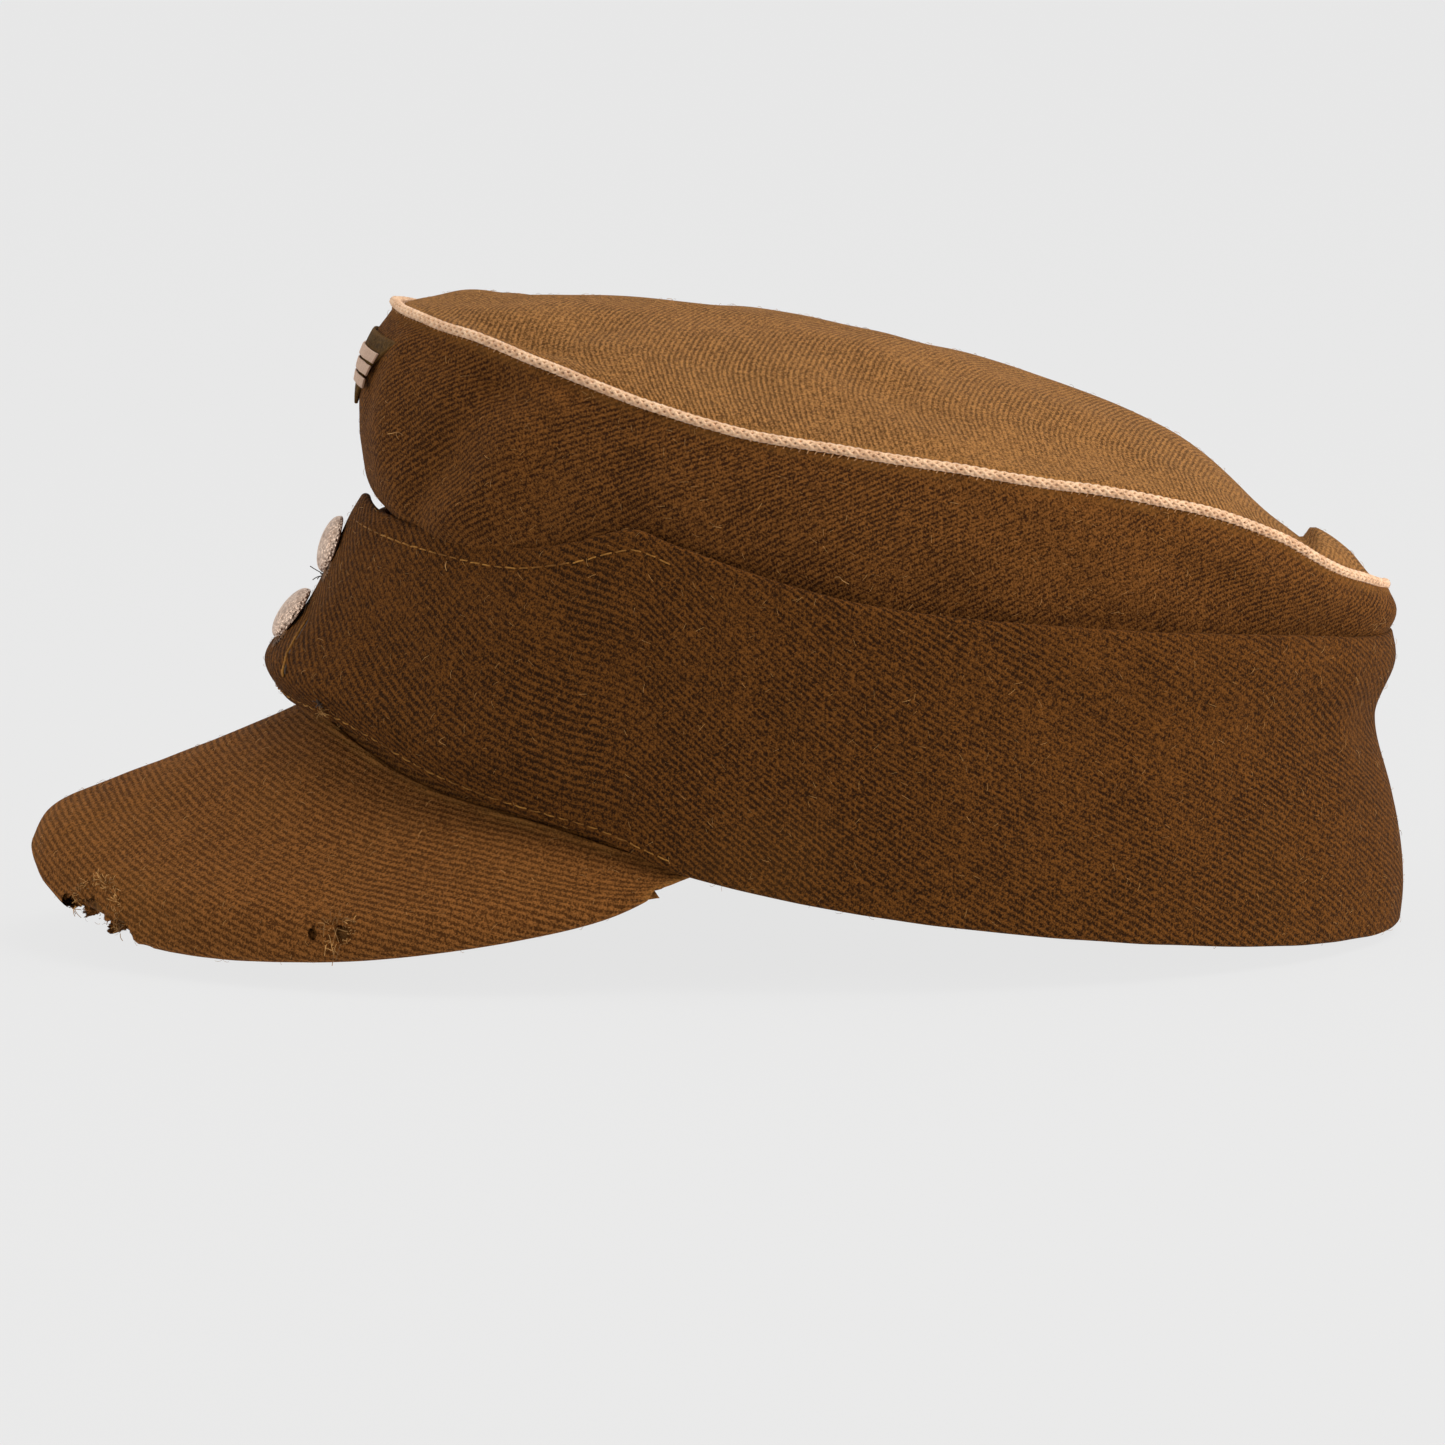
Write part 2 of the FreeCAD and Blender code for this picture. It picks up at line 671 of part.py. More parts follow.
# The worked edge of each buttonhole: a rim of thread that follows the tab's face.
edge_lift = size("buttonhole_lift")
hole_edge = tab_layer(1, flap_shares, -edge_lift - size("buttonhole_thick"), -edge_lift)
for word, seat in seats.items():
    rim_outside = placed(slot(size("buttonhole_edge"), EDGE_BELOW, EDGE_ABOVE), seat)
    rim = rim_outside.cut(placed(slot(0.0, CUT_BELOW, CUT_ABOVE), seat))
    clear_radius = button_radius + size("button_wall")
    clear_height = CUT_ABOVE - CUT_BELOW
    button_clearance = placed(Part.makeCylinder(clear_radius, clear_height, Vector(0, 0, CUT_BELOW)), seat)
    keep_shape(word + "_buttonhole", hole_edge.common(rim).cut(button_clearance).Solids[0])

# ---------------------------------------------------------------------------------------------------
# Badge: a plain wedge of backing cloth with three light bars
# ---------------------------------------------------------------------------------------------------


def wedge(low_share, high_share, half_low, half_high, top, bottom):
    """A patch on the crown's front whose width changes with its height, given as half widths."""
    grids = []
    for depth_in in (top, bottom):
        grid = []
        for f in spread(-1, 1, 9):
            line = []
            for share in spread(low_share, high_share, 5):
                way = (share - low_share) / (high_share - low_share)
                half = half_high + (half_low - half_high) * way
                x = f * half
                width = ring_at(CROWN_RINGS, share)[2]
                angle = math.degrees(math.asin(abs(x) / width))
                side = -1 if x < 0 else 1
                line.append(shifted(crown_point, side, angle, share, depth_in))
            grid.append(line)
        grids.append(grid)
    return solid_between(*grids)


badge_out = -gap - size("badge_thick")
BADGE_TOP = 0.07  # shares of the crown side's height
BADGE_BOTTOM = 0.25
BAR_TOP = 0.105
BAR_STEP = 0.032
BAR_TALL = 0.026
BAR_HALF = 13.5  # the first bar's half width; each next one is narrower
BAR_NARROWER = 2.6
BAR_TAPER = 2.0
keep_shape("badge_backing", wedge(BADGE_TOP, BADGE_BOTTOM, size("badge_half_bottom"), size("badge_half_top"),
                                  badge_out, -gap))
bars = []
for n in range(3):
    start = BAR_TOP + n * BAR_STEP
    half = BAR_HALF - n * BAR_NARROWER
    bar_low = badge_out - gap / 2
    bar_high = bar_low - size("badge_bar_thick")
    bars.append(wedge(start, start + BAR_TALL, half - BAR_TAPER, half, bar_high, bar_low))
keep_shape("badge_bars", Part.makeCompound(bars))

# ---------------------------------------------------------------------------------------------------
# Checks and export
# ---------------------------------------------------------------------------------------------------

doc.recompute()
faults = []
for obj in doc.Objects:
    if "Invalid" in obj.State or "Error" in obj.State:
        faults.append(obj.Label + " did not rebuild")
for obj in subparts:
    if obj.Shape.isNull():
        faults.append(obj.Label + " has no shape")
    elif not obj.Shape.isValid():
        faults.append(obj.Label + " is not valid")
    elif obj.Shape.Volume <= 0 or not obj.Shape.Solids:
        faults.append(obj.Label + " is not a solid")
if faults:
    raise SystemExit("; ".join(faults))

os.makedirs("parts", exist_ok=True)
for obj in subparts:
    obj.Shape.exportStep("parts/" + obj.Label + ".step")
    box = obj.Shape.BoundBox
    print("%-24s %9.1f mm3  x %7.1f %7.1f  y %7.1f %7.1f  z %6.1f %6.1f" % (
        obj.Label, obj.Shape.Volume, box.XMin, box.XMax, box.YMin, box.YMax, box.ZMin, box.ZMax))
for word, seat in seats.items():
    facing = seat.Rotation.multVec(Vector(0, 0, 1))
    print(word, "button at", [round(c, 2) for c in seat.Base], "facing", [round(c, 4) for c in facing])
print(len(subparts), "sub-parts")
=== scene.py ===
import math
import bpy
import bmesh
import numpy as np
from mathutils import Matrix, Vector


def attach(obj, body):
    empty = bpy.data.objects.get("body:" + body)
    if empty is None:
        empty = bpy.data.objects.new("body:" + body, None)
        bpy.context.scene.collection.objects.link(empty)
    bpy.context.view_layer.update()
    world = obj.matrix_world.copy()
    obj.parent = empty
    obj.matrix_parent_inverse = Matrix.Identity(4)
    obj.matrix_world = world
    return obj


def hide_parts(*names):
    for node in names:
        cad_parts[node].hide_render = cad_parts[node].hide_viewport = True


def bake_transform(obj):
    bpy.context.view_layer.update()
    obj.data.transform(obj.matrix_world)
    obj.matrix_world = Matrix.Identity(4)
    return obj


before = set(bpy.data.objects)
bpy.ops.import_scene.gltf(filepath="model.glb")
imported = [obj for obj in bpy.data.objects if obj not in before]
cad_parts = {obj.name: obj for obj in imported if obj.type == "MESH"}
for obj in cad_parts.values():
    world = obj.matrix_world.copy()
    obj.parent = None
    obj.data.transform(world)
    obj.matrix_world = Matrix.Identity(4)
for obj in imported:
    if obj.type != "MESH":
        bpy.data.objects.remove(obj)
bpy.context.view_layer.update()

MM = 0.001  # the cap's sizes below are in millimetres, and every finished mesh is in metres

# Room: the camera looks at the cap's left side from 1.6 m away and a little above, as for a
# catalogue. A plain pale floor, a soft light above, one low at the rear and a weaker one in front.
aim = Vector((0, 2, 42.5)) * MM
tilt = math.radians(8.0)
roll = math.radians(0.5)
back = Vector((math.cos(tilt), 0, math.sin(tilt)))
level = Vector((0, 1, 0))
rise = Vector((-math.sin(tilt), 0, math.cos(tilt)))
across = level * math.cos(roll) - rise * math.sin(roll)
upward = level * math.sin(roll) + rise * math.cos(roll)
camera_data = bpy.data.cameras.new("camera")
camera_data.lens = 193.3
camera_data.sensor_width = 36.0
camera = bpy.data.objects.new("camera", camera_data)
bpy.context.scene.collection.objects.link(camera)
turn = Matrix((across, upward, back)).transposed().to_4x4()
camera.matrix_world = Matrix.Translation(aim + back * 1.6) @ turn
bpy.context.scene.camera = camera
bpy.context.scene.view_settings.view_transform = "Standard"


class Value:
    """A socket that can be added, multiplied and so on, which makes the Math nodes for it."""

    def __init__(self, graph, socket):
        self.graph = graph
        self.socket = socket

    def maths(self, operation, *others):
        values = dict(enumerate((self,) + others))
        return self.graph.add("ShaderNodeMath", {"operation": operation}, values)

    def __add__(self, other):
        return self.maths("ADD", other)

    __radd__ = __add__

    def __mul__(self, other):
        return self.maths("MULTIPLY", other)

    __rmul__ = __mul__

    def __sub__(self, other):
        return self.maths("SUBTRACT", other)

    def __rsub__(self, other):
        return self.graph.add("ShaderNodeMath", {"operation": "SUBTRACT"}, {0: other, 1: self})

    def __truediv__(self, other):
        return self.maths("DIVIDE", other)

    def __rtruediv__(self, other):
        return self.graph.add("ShaderNodeMath", {"operation": "DIVIDE"}, {0: other, 1: self})

    def __neg__(self):
        return self.maths("MULTIPLY", -1.0)

    def wave(self):
        """0 to 1 and back once in each unit."""
        return (self * math.tau).maths("SINE") * 0.5 + 0.5

    def between(self, low, high):
        """0 below low, 1 above high, smooth between."""
        settings = {"interpolation_type": "SMOOTHSTEP"}
        return self.graph.add("ShaderNodeMapRange", settings, {0: self, 1: low, 2: high})


class Graph:
    """A node tree of a material or of Geometry Nodes."""

    def __init__(self, tree):
        self.tree = tree

    def add(self, kind, settings=None, values=None, out=0):
        node = self.tree.nodes.new(kind)
        for name, value in (settings or {}).items():
            setattr(node, name, value)
        for name, value in (values or {}).items():
            if isinstance(value, Value):
                self.tree.links.new(value.socket, node.inputs[name])
            else:
                node.inputs[name].default_value = value
        return Value(self, node.outputs[out])

    def mix(self, factor, first, second):
        settings = {"data_type": "RGBA"}
        return self.add("ShaderNodeMix", settings, {0: factor, 6: first, 7: second}, 2)

    def noise(self, place, scale, detail=3.0, rough=0.5):
        values = {"Vector": place, "Scale": scale, "Detail": detail, "Roughness": rough}
        return self.add("ShaderNodeTexNoise", {}, values)


def material(name, **constants):
    """A new material and its graph, with a Principled shader whose sockets get the constants."""
    made = bpy.data.materials.new(name)
    made.use_nodes = True
    graph = Graph(made.node_tree)
    shader = made.node_tree.nodes["Principled BSDF"]
    for socket, value in constants.items():
        shader.inputs[socket.replace("_", " ")].default_value = value
    return made, graph, shader


def paint(red, green, blue):
    """A colour as read from a screen, 0 to 255, turned into linear light."""
    linear = [(c / 255 / 12.92) if c < 11 else ((c / 255 + 0.055) / 1.055) ** 2.4 for c in (red, green, blue)]
    return (*linear, 1.0)


def finish_material(graph, shader, colour, roughness, height, distance, strength=1.0):
    """Joins colour, roughness and a bump of that height, in metres, to the shader."""
    links = graph.tree.links
    links.new(colour.socket, shader.inputs["Base Color"])
    links.new(roughness.socket, shader.inputs["Roughness"])
    values = {"Height": height, "Distance": distance, "Strength": strength}
    bump = graph.add("ShaderNodeBump", {}, values)
    links.new(bump.socket, shader.inputs["Normal"])


floor_data = bpy.data.meshes.new("floor")
floor_data.from_pydata([(-6, -6, 0), (6, -6, 0), (6, 6, 0), (-6, 6, 0)], [], [(0, 1, 2, 3)])
floor = bpy.data.objects.new("floor", floor_data)
floor.location.z = -0.0006
bpy.context.scene.collection.objects.link(floor)
floor_paint, graph, shader = material("floor_paint", Roughness=1.0, Emission_Strength=0.765)
shader.inputs["Base Color"].default_value = (0.045, 0.045, 0.045, 1)
shader.inputs["Emission Color"].default_value = (1, 1, 1, 1)
shader.inputs["Specular IOR Level"].default_value = 0.0
floor_data.materials.append(floor_paint)

world = bpy.data.worlds.new("studio")
world.use_nodes = True
world.node_tree.nodes["Background"].inputs[0].default_value = (0.807, 0.807, 0.807, 1)
world.node_tree.nodes["Background"].inputs[1].default_value = 1.0
bpy.context.scene.world = world


def soft_light(name, place, size, power, colour):
    data = bpy.data.lights.new(name, "AREA")
    data.shape = "SQUARE"
    data.size = size
    data.energy = power
    data.color = colour
    lamp = bpy.data.objects.new(name, data)
    bpy.context.scene.collection.objects.link(lamp)
    lamp.matrix_world = Vector(place).to_track_quat("Z", "Y").to_matrix().to_4x4()
    lamp.location = place


# a dark screen stands behind the camera, so that the side towards it is lit from both ends
screen_data = bpy.data.meshes.new("dark_screen")
screen_corners = [(1.8, -2.4, -0.4), (1.8, 2.4, -0.4), (1.8, 2.4, 2.2), (1.8, -2.4, 2.2)]
screen_data.from_pydata(screen_corners, [], [(0, 1, 2, 3)])
screen = bpy.data.objects.new("dark_screen", screen_data)
bpy.context.scene.collection.objects.link(screen)
screen_paint, graph, shader = material("screen_paint", Roughness=1.0)
shader.inputs["Base Color"].default_value = (0.02, 0.02, 0.02, 1)
screen_data.materials.append(screen_paint)
screen.visible_camera = False
soft_light("light_above", (0.25, 0.50, 1.35), 0.9, 10.0, (1.0, 0.97, 0.93))
soft_light("light_rear", (0.75, 1.25, 0.26), 0.7, 15.0, (1.0, 0.96, 0.92))
soft_light("light_front", (0.60, -1.30, 0.45), 0.7, 5.0, (1.0, 0.97, 0.94))

# Crown top: an oval of brown wool cloth, steamed into a low dome that sags behind. Its edge is
# sewn into the seam with the side panels, under the piping.
RIM_HEIGHT = [(-64.3, 130.4), (-46, 126.2), (-21, 117.7), (5, 109.9), (50, 102.2), (90, 94.3),
              (112, 86.5), (124, 78.8), (138.6, 71.0)]
TOP_DOME = [(-64.3, 0.0), (-47, 4.0), (-22, 12.5), (2, 17.6), (20, 18.8), (52, 16.0), (82, 12.8),
            (100, 8.0), (114, 0.5), (126, 0.0), (138.6, 0.0)]
RIM_MIDDLE = 37.15
RIM_HALF_LENGTH = 101.45
RIM_HALF_WIDTH = 73.0


def along(curve, place):
    """Heights on a smooth line through the curve's points, straight beyond its ends."""
    knots = np.array(curve, float)
    x, z = knots[:, 0], knots[:, 1]
    slope = np.empty(len(x))
    slope[1:-1] = (z[2:] - z[:-2]) / (x[2:] - x[:-2])
    slope[0] = (z[1] - z[0]) / (x[1] - x[0])
    slope[-1] = (z[-1] - z[-2]) / (x[-1] - x[-2])
    place = np.asarray(place, float)
    inside = np.clip(place, x[0], x[-1])
    i = np.clip(np.searchsorted(x, inside, side="right") - 1, 0, len(x) - 2)
    span = x[i + 1] - x[i]
    f = (inside - x[i]) / span
    height = (
        z[i] * (1 + 2 * f) * (1 - f) ** 2
        + z[i + 1] * f * f * (3 - 2 * f)
        + span * slope[i] * f * (1 - f) ** 2
        - span * slope[i + 1] * f * f * (1 - f)
    )
    return height + (place - inside) * np.where(place < x[0], slope[0], slope[-1])


def smooth(f):
    f = np.clip(f, 0.0, 1.0)
    return f * f * (3 - 2 * f)


def slump(x, y):
    """How far the soft crown has sunk on its far side, behind and a little in front."""
    away = smooth((12 - x) / 60)
    return away * (11.0 * smooth((y - 62) / 55) + 3.0 * smooth((-20 - y) / 35))


def top_surface(x, y):
    out = (x / RIM_HALF_WIDTH) ** 2
    length_share = 1 - ((y - RIM_MIDDLE) / RIM_HALF_LENGTH) ** 2
    spread = out / np.maximum(length_share, 0.12)
    z = along(RIM_HEIGHT, y) + along(TOP_DOME, y) * (1 - np.minimum(spread, 1.6))
    return np.stack([x, y, z - slump(x, y)], -1)


def dent(points, start, end, width, depth):
    """How far a soft crease between two points lifts or sinks the cloth beside it."""
    start = np.array(start, float)
    way = np.array(end, float) - start
    f = np.clip(((points - start) @ way) / (way @ way), 0, 1)
    away = np.linalg.norm(points - start - f[..., None] * way, axis=-1)
    return depth * np.exp(-((away / width) ** 2)) * (0.35 + 0.65 * np.sin(np.pi * np.clip(f, 0.08, 0.92)))


def dents(points, *creases):
    """Several creases together: the start, end, width and depth of each."""
    total = dent(points, *creases[0])
    for crease in creases[1:]:
        total = total + dent(points, *crease)
    return total


def ripples(points, seed, size, depth):
    """Gentle unevenness of worn cloth: a few waves in seeded directions."""
    draw = np.random.default_rng(seed)
    total = np.zeros(points.shape[:-1])
    for _ in range(9):
        way = draw.normal(size=3)
        way *= math.tau / (size * draw.uniform(0.6, 1.7) * np.linalg.norm(way))
        total += np.sin(points @ way + draw.uniform(0, math.tau))
    return total * depth / 3


def unit(vectors):
    return vectors / np.maximum(np.linalg.norm(vectors, axis=-1, keepdims=True), 1e-9)


def skyward(points):
    """Straight up, once for each point."""
    return np.broadcast_to(np.array([0.0, 0.0, 1.0]), points.shape)


def outward(points, facing):
    """Unit normals of a grid of points, towards facing."""
    normals = unit(np.cross(np.gradient(points, axis=0), np.gradient(points, axis=1)))
    middle = tuple(n // 2 for n in points.shape[:2])
    if (normals[middle] * facing[middle]).sum() < 0:
        normals = -normals
    return normals


def lengths(points, axis):
    """Distance run along a grid's rows or columns from their start."""
    steps = np.linalg.norm(np.diff(points, axis=axis), axis=-1)
    start = np.zeros_like(np.take(steps, [0], axis=axis))
    return np.cumsum(np.concatenate([start, steps], axis=axis), axis=axis)


def add_object(name, vertices, faces, paint_on, body):
    data = bpy.data.meshes.new(name)
    data.from_pydata(vertices.tolist(), [], faces.tolist() if hasattr(faces, "tolist") else faces)
    data.materials.append(paint_on)
    data.shade_smooth()
    made = bpy.data.objects.new(name, data)
    bpy.context.scene.collection.objects.link(made)
    if body:
        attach(made, body)
    return made


def cloth(name, points, facing, top, bottom, paint_on, body, start=0.0):
    """A layer of cloth with soft round edges. points is a grid in millimetres, top and bottom are
    the depths of its two faces. Its UV map is in metres along the cloth, and the attribute edge
    is the distance from the nearest edge in metres. start is where the first row lies in the map."""
    normals = outward(points, facing)
    run = lengths(points, 0)
    fall = lengths(points, 1)
    edge = np.minimum.reduce([run, run[-1:] - run, fall, fall[:, -1:] - fall])
    half = (bottom - top) / 2
    inset = half * 0.94 * (1 - np.sqrt(1 - (1 - np.minimum(edge / half, 1)) ** 2))
    outer = points - normals * (top + inset)[..., None]
    inner = points - normals * (bottom - inset)[..., None]
    m, n = points.shape[:2]
    index = np.arange(m * n).reshape(m, n)
    a, b, c, d = index[:-1, :-1], index[1:, :-1], index[1:, 1:], index[:-1, 1:]
    front = np.stack([a, b, c, d], -1).reshape(-1, 4)
    corner = outer.reshape(-1, 3)[front[len(front) // 2]]
    outside = normals.reshape(-1, 3)[front[len(front) // 2, 0]]
    turned = np.cross(corner[1] - corner[0], corner[2] - corner[0]) @ outside
    if turned < 0:
        front = front[:, ::-1]
    ring = np.concatenate([index[:-1, 0], index[-1, :-1], index[:0:-1, -1], index[0, :0:-1]])
    after = np.roll(ring, -1)
    rim = np.stack([ring, ring + m * n, after + m * n, after], -1)
    if turned < 0:
        rim = rim[:, ::-1]
    faces = np.concatenate([front, front[:, ::-1] + m * n, rim])
    vertices = np.concatenate([outer.reshape(-1, 3), inner.reshape(-1, 3)]) * MM
    made = add_object(name, vertices, faces, paint_on, body)
    middle_run = run[:, n // 2]
    place = np.stack([np.broadcast_to((start + middle_run)[:, None], (m, n)), fall], -1).reshape(-1, 2) * MM
    chart = made.data.uv_layers.new(name="cloth")
    corners = np.empty(len(made.data.loops), np.int32)
    made.data.loops.foreach_get("vertex_index", corners)
    chart.data.foreach_set("uv", place[corners % (m * n)].astype(np.float32).ravel())
    kept = made.data.attributes.new("edge", "FLOAT", "POINT")
    kept.data.foreach_set("value", (np.tile(edge.ravel(), 2) * MM).astype(np.float32))
    made["flat"] = [float(middle_run[-1]) * MM, float(fall[:, -1].mean()) * MM]
    return made


def wool(name, dark, light, pitch, slope, relief, fuzz, worn):
    """Brown wool twill. pitch is the ribs' spacing in millimetres, slope their angle on the cloth in
    degrees, relief and fuzz their heights, worn the colour where the nap is rubbed."""
    made, graph, shader = material(
        name, Sheen_Weight=0.10, Sheen_Roughness=0.5, Specular_IOR_Level=0.08, Sheen_Tint=worn
    )
    chart = graph.add("ShaderNodeUVMap", {"uv_map": "cloth"})
    u = graph.add("ShaderNodeSeparateXYZ", {}, {0: chart}) * 1000.0
    v = graph.add("ShaderNodeSeparateXYZ", {}, {0: chart}, 1) * 1000.0
    place = graph.add("ShaderNodeTexCoord", out=3)
    lean = math.radians(slope)
    broad = graph.noise(place, 22.0, 3.0)
    patch = graph.noise(place, 75.0, 4.0, 0.6)
    grain = graph.noise(place, 900.0, 2.0, 0.6)
    hair = graph.noise(place, 2600.0, 2.0, 0.7)
    over = (v * math.cos(lean) - u * math.sin(lean)) / pitch + (patch - 0.5) * 1.1 + (grain - 0.5) * 0.55
    down = (v * math.sin(lean) + u * math.cos(lean)) / (pitch * 0.72)
    valley = 1.0 - over.wave().between(0.10, 0.80)
    dot = (down + over.maths("FLOOR") * 0.43 + (grain - 0.5) * 0.7).wave()
    rib = 1.0 - valley * (0.52 + dot * 0.48)
    kept = (broad * 0.6 + patch * 0.6).between(0.36, 0.76)
    clear = 0.30 + kept * 0.55
    bright = 0.64 - (1.0 - rib) * clear * 0.95 + (grain - 0.5) * 1.7 + (hair - 0.5) * 3.4
    bright = bright.maths("MINIMUM", 1.0).maths("MAXIMUM", 0.0)
    colour = graph.mix(bright, dark, light)
    edge = graph.add("ShaderNodeAttribute", {"attribute_name": "edge"}, out=2)
    rubbed = (1.0 - edge.between(0.0004, 0.0032)) * (patch + 0.25).between(0.45, 0.95) * 0.55
    faded = (broad - 0.5).between(0.02, 0.30) * 0.10 + rubbed
    colour = graph.mix(faded, colour, worn)
    height = rib * clear * relief + grain * fuzz + hair * (fuzz * 0.8)
    rough = 0.86 + grain * 0.12
    finish_material(graph, shader, colour, rough, height, 0.001)
    return made


wool_top = wool(
    "wool_top", paint(84, 54, 25), paint(168, 118, 66),
    pitch=1.0, slope=-24.0, relief=0.14, fuzz=0.45, worn=paint(170, 126, 74),
)
side = np.linspace(-1, 1, 161)
inset = 1.2 + 0.25
ease = np.sign(side) * (1 - (1 - np.abs(side)) ** 1.12)
s, t = np.meshgrid(ease, ease, indexing="ij")
x = s * np.sqrt(1 - t * t / 2) * (RIM_HALF_WIDTH - inset)
y = RIM_MIDDLE + t * np.sqrt(1 - s * s / 2) * (RIM_HALF_LENGTH - inset)
points = top_surface(x, y)
rim_share = np.hypot(x / (RIM_HALF_WIDTH - inset), (y - RIM_MIDDLE) / (RIM_HALF_LENGTH - inset))
inner_part = smooth((1 - rim_share) / 0.12)
sag = dents(
    points,
    ((40, -32, 126), (22, -14, 130), 7.0, -1.6),
    ((24, -53, 129), (48, -26, 121), 6.0, -3.0),
    ((10, -44, 136), (34, -20, 134), 8.0, 1.0),
    ((50, 40, 112), (30, 24, 116), 8.0, -2.2),
    ((34, 84, 98), (58, 66, 98), 9.0, -1.8),
    ((-30, 60, 105), (-8, 96, 96), 10.0, -1.4),
)
hump = smooth((y - 121) / 2.4) * np.exp(-(((y - 125) / 10) ** 2) - ((x - 4) / 26) ** 2)
sag += ripples(points, 5, 34.0, 0.45) + ripples(points, 6, 13.0, 0.14)
points[..., 2] += sag * inner_part
# it puffs up beside the seam on the far side, which has slumped at the back
beside = np.exp(-(((1 - rim_share) - 0.13) / 0.10) ** 2) * smooth((12 - x) / 30)
rear_puff = 4.4 * smooth((y - 78) / 24) * smooth((124 - y) / 8)
front_puff = 2.2 * smooth((-18 - y) / 30)
points[..., 2] += beside * (rear_puff + front_puff)
points[..., 2] += hump * 4.2 * smooth((1 - rim_share) / 0.06)
# the cloth is pulled down a little where it enters the seam
points[..., 2] -= 0.5 * smooth((rim_share - 0.965) / 0.035)
overhead = skyward(points)
crown_top = cloth("crown_top", points, overhead, 0.0, 1.4, wool_top, "cap")
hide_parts("crown_top_panel")

# Crown sides: two panels of wool cloth that stand up from the band and meet at the front and back
# centre. The cloth is soft, so it is drawn in over the flap and creased at the front.
CROWN_LOW_HEIGHT = [(-80, 48.0), (-58, 37.5), (-33, 31.5), (-5, 24.0), (36, 16.0), (84, 9.5),
                    (122, 5.6), (137, 4.6)]
CROWN_RINGS = [
    (0.0, -64.3, 138.6, 73.0),
    (0.08, -68.6, 139.0, 75.6),
    (0.17, -71.2, 134.8, 77.0),
    (0.30, -71.9, 132.2, 76.5),
    (0.40, -71.2, 130.0, 76.0),
    (0.46, -69.8, 130.0, 76.0),
    (0.50, -66.0, 130.2, 76.0),
    (0.70, -68.4, 133.5, 76.8),
    (1.0, -79.4, 136.6, 76.6),
]


def ring_at(rings, share):
    """The plan ellipse's middle, half length and half width at a share of the height."""
    table = np.array(rings)
    front, rear, width = (along(table[:, [0, column]], share) for column in (1, 2, 3))
    return (front + rear) / 2, (rear - front) / 2, width


def wall(rings, high, low, angle, share):
    """Points of a wall round the head: angle 0 at the front centre, positive to the wearer's left."""
    middle, half_length, half_width = ring_at(rings, share)
    a = np.radians(angle)
    x = half_width * np.sin(a)
    y = middle - half_length * np.cos(a)
    top_middle, top_half, _ = ring_at(rings, 0.0)
    low_middle, low_half, _ = ring_at(rings, 1.0)
    top_z = along(high, top_middle - top_half * np.cos(a))
    low_z = along(low, low_middle - low_half * np.cos(a))
    return np.stack([x, y, top_z + share * (low_z - top_z)], -1)


def crown_surface(angle, share):
    points = wall(CROWN_RINGS, RIM_HEIGHT, CROWN_LOW_HEIGHT, angle, share)
    slumped = slump(points[..., 0], points[..., 1]) * smooth(1 - share * 1.6)
    points[..., 2] -= 0.6 * (1 - smooth(share / 0.1)) + slumped
    return points


def from_axis(points):
    """Directions straight out from the upright axis of the head."""
    return unit(points * (1, 1, 0) - (0, 30, 0))


def grid(first, second):
    return np.meshgrid(first, second, indexing="ij")


def edged(low, high, count, rim):
    """Evenly spread values with closer ones near both ends."""
    near = rim * np.array([0.12, 0.3, 0.6, 1.0, 1.8])
    inner = np.linspace(low + rim * 2.8, high - rim * 2.8, count)
    return np.concatenate([[low], low + near, inner, (high - near)[::-1], [high]])


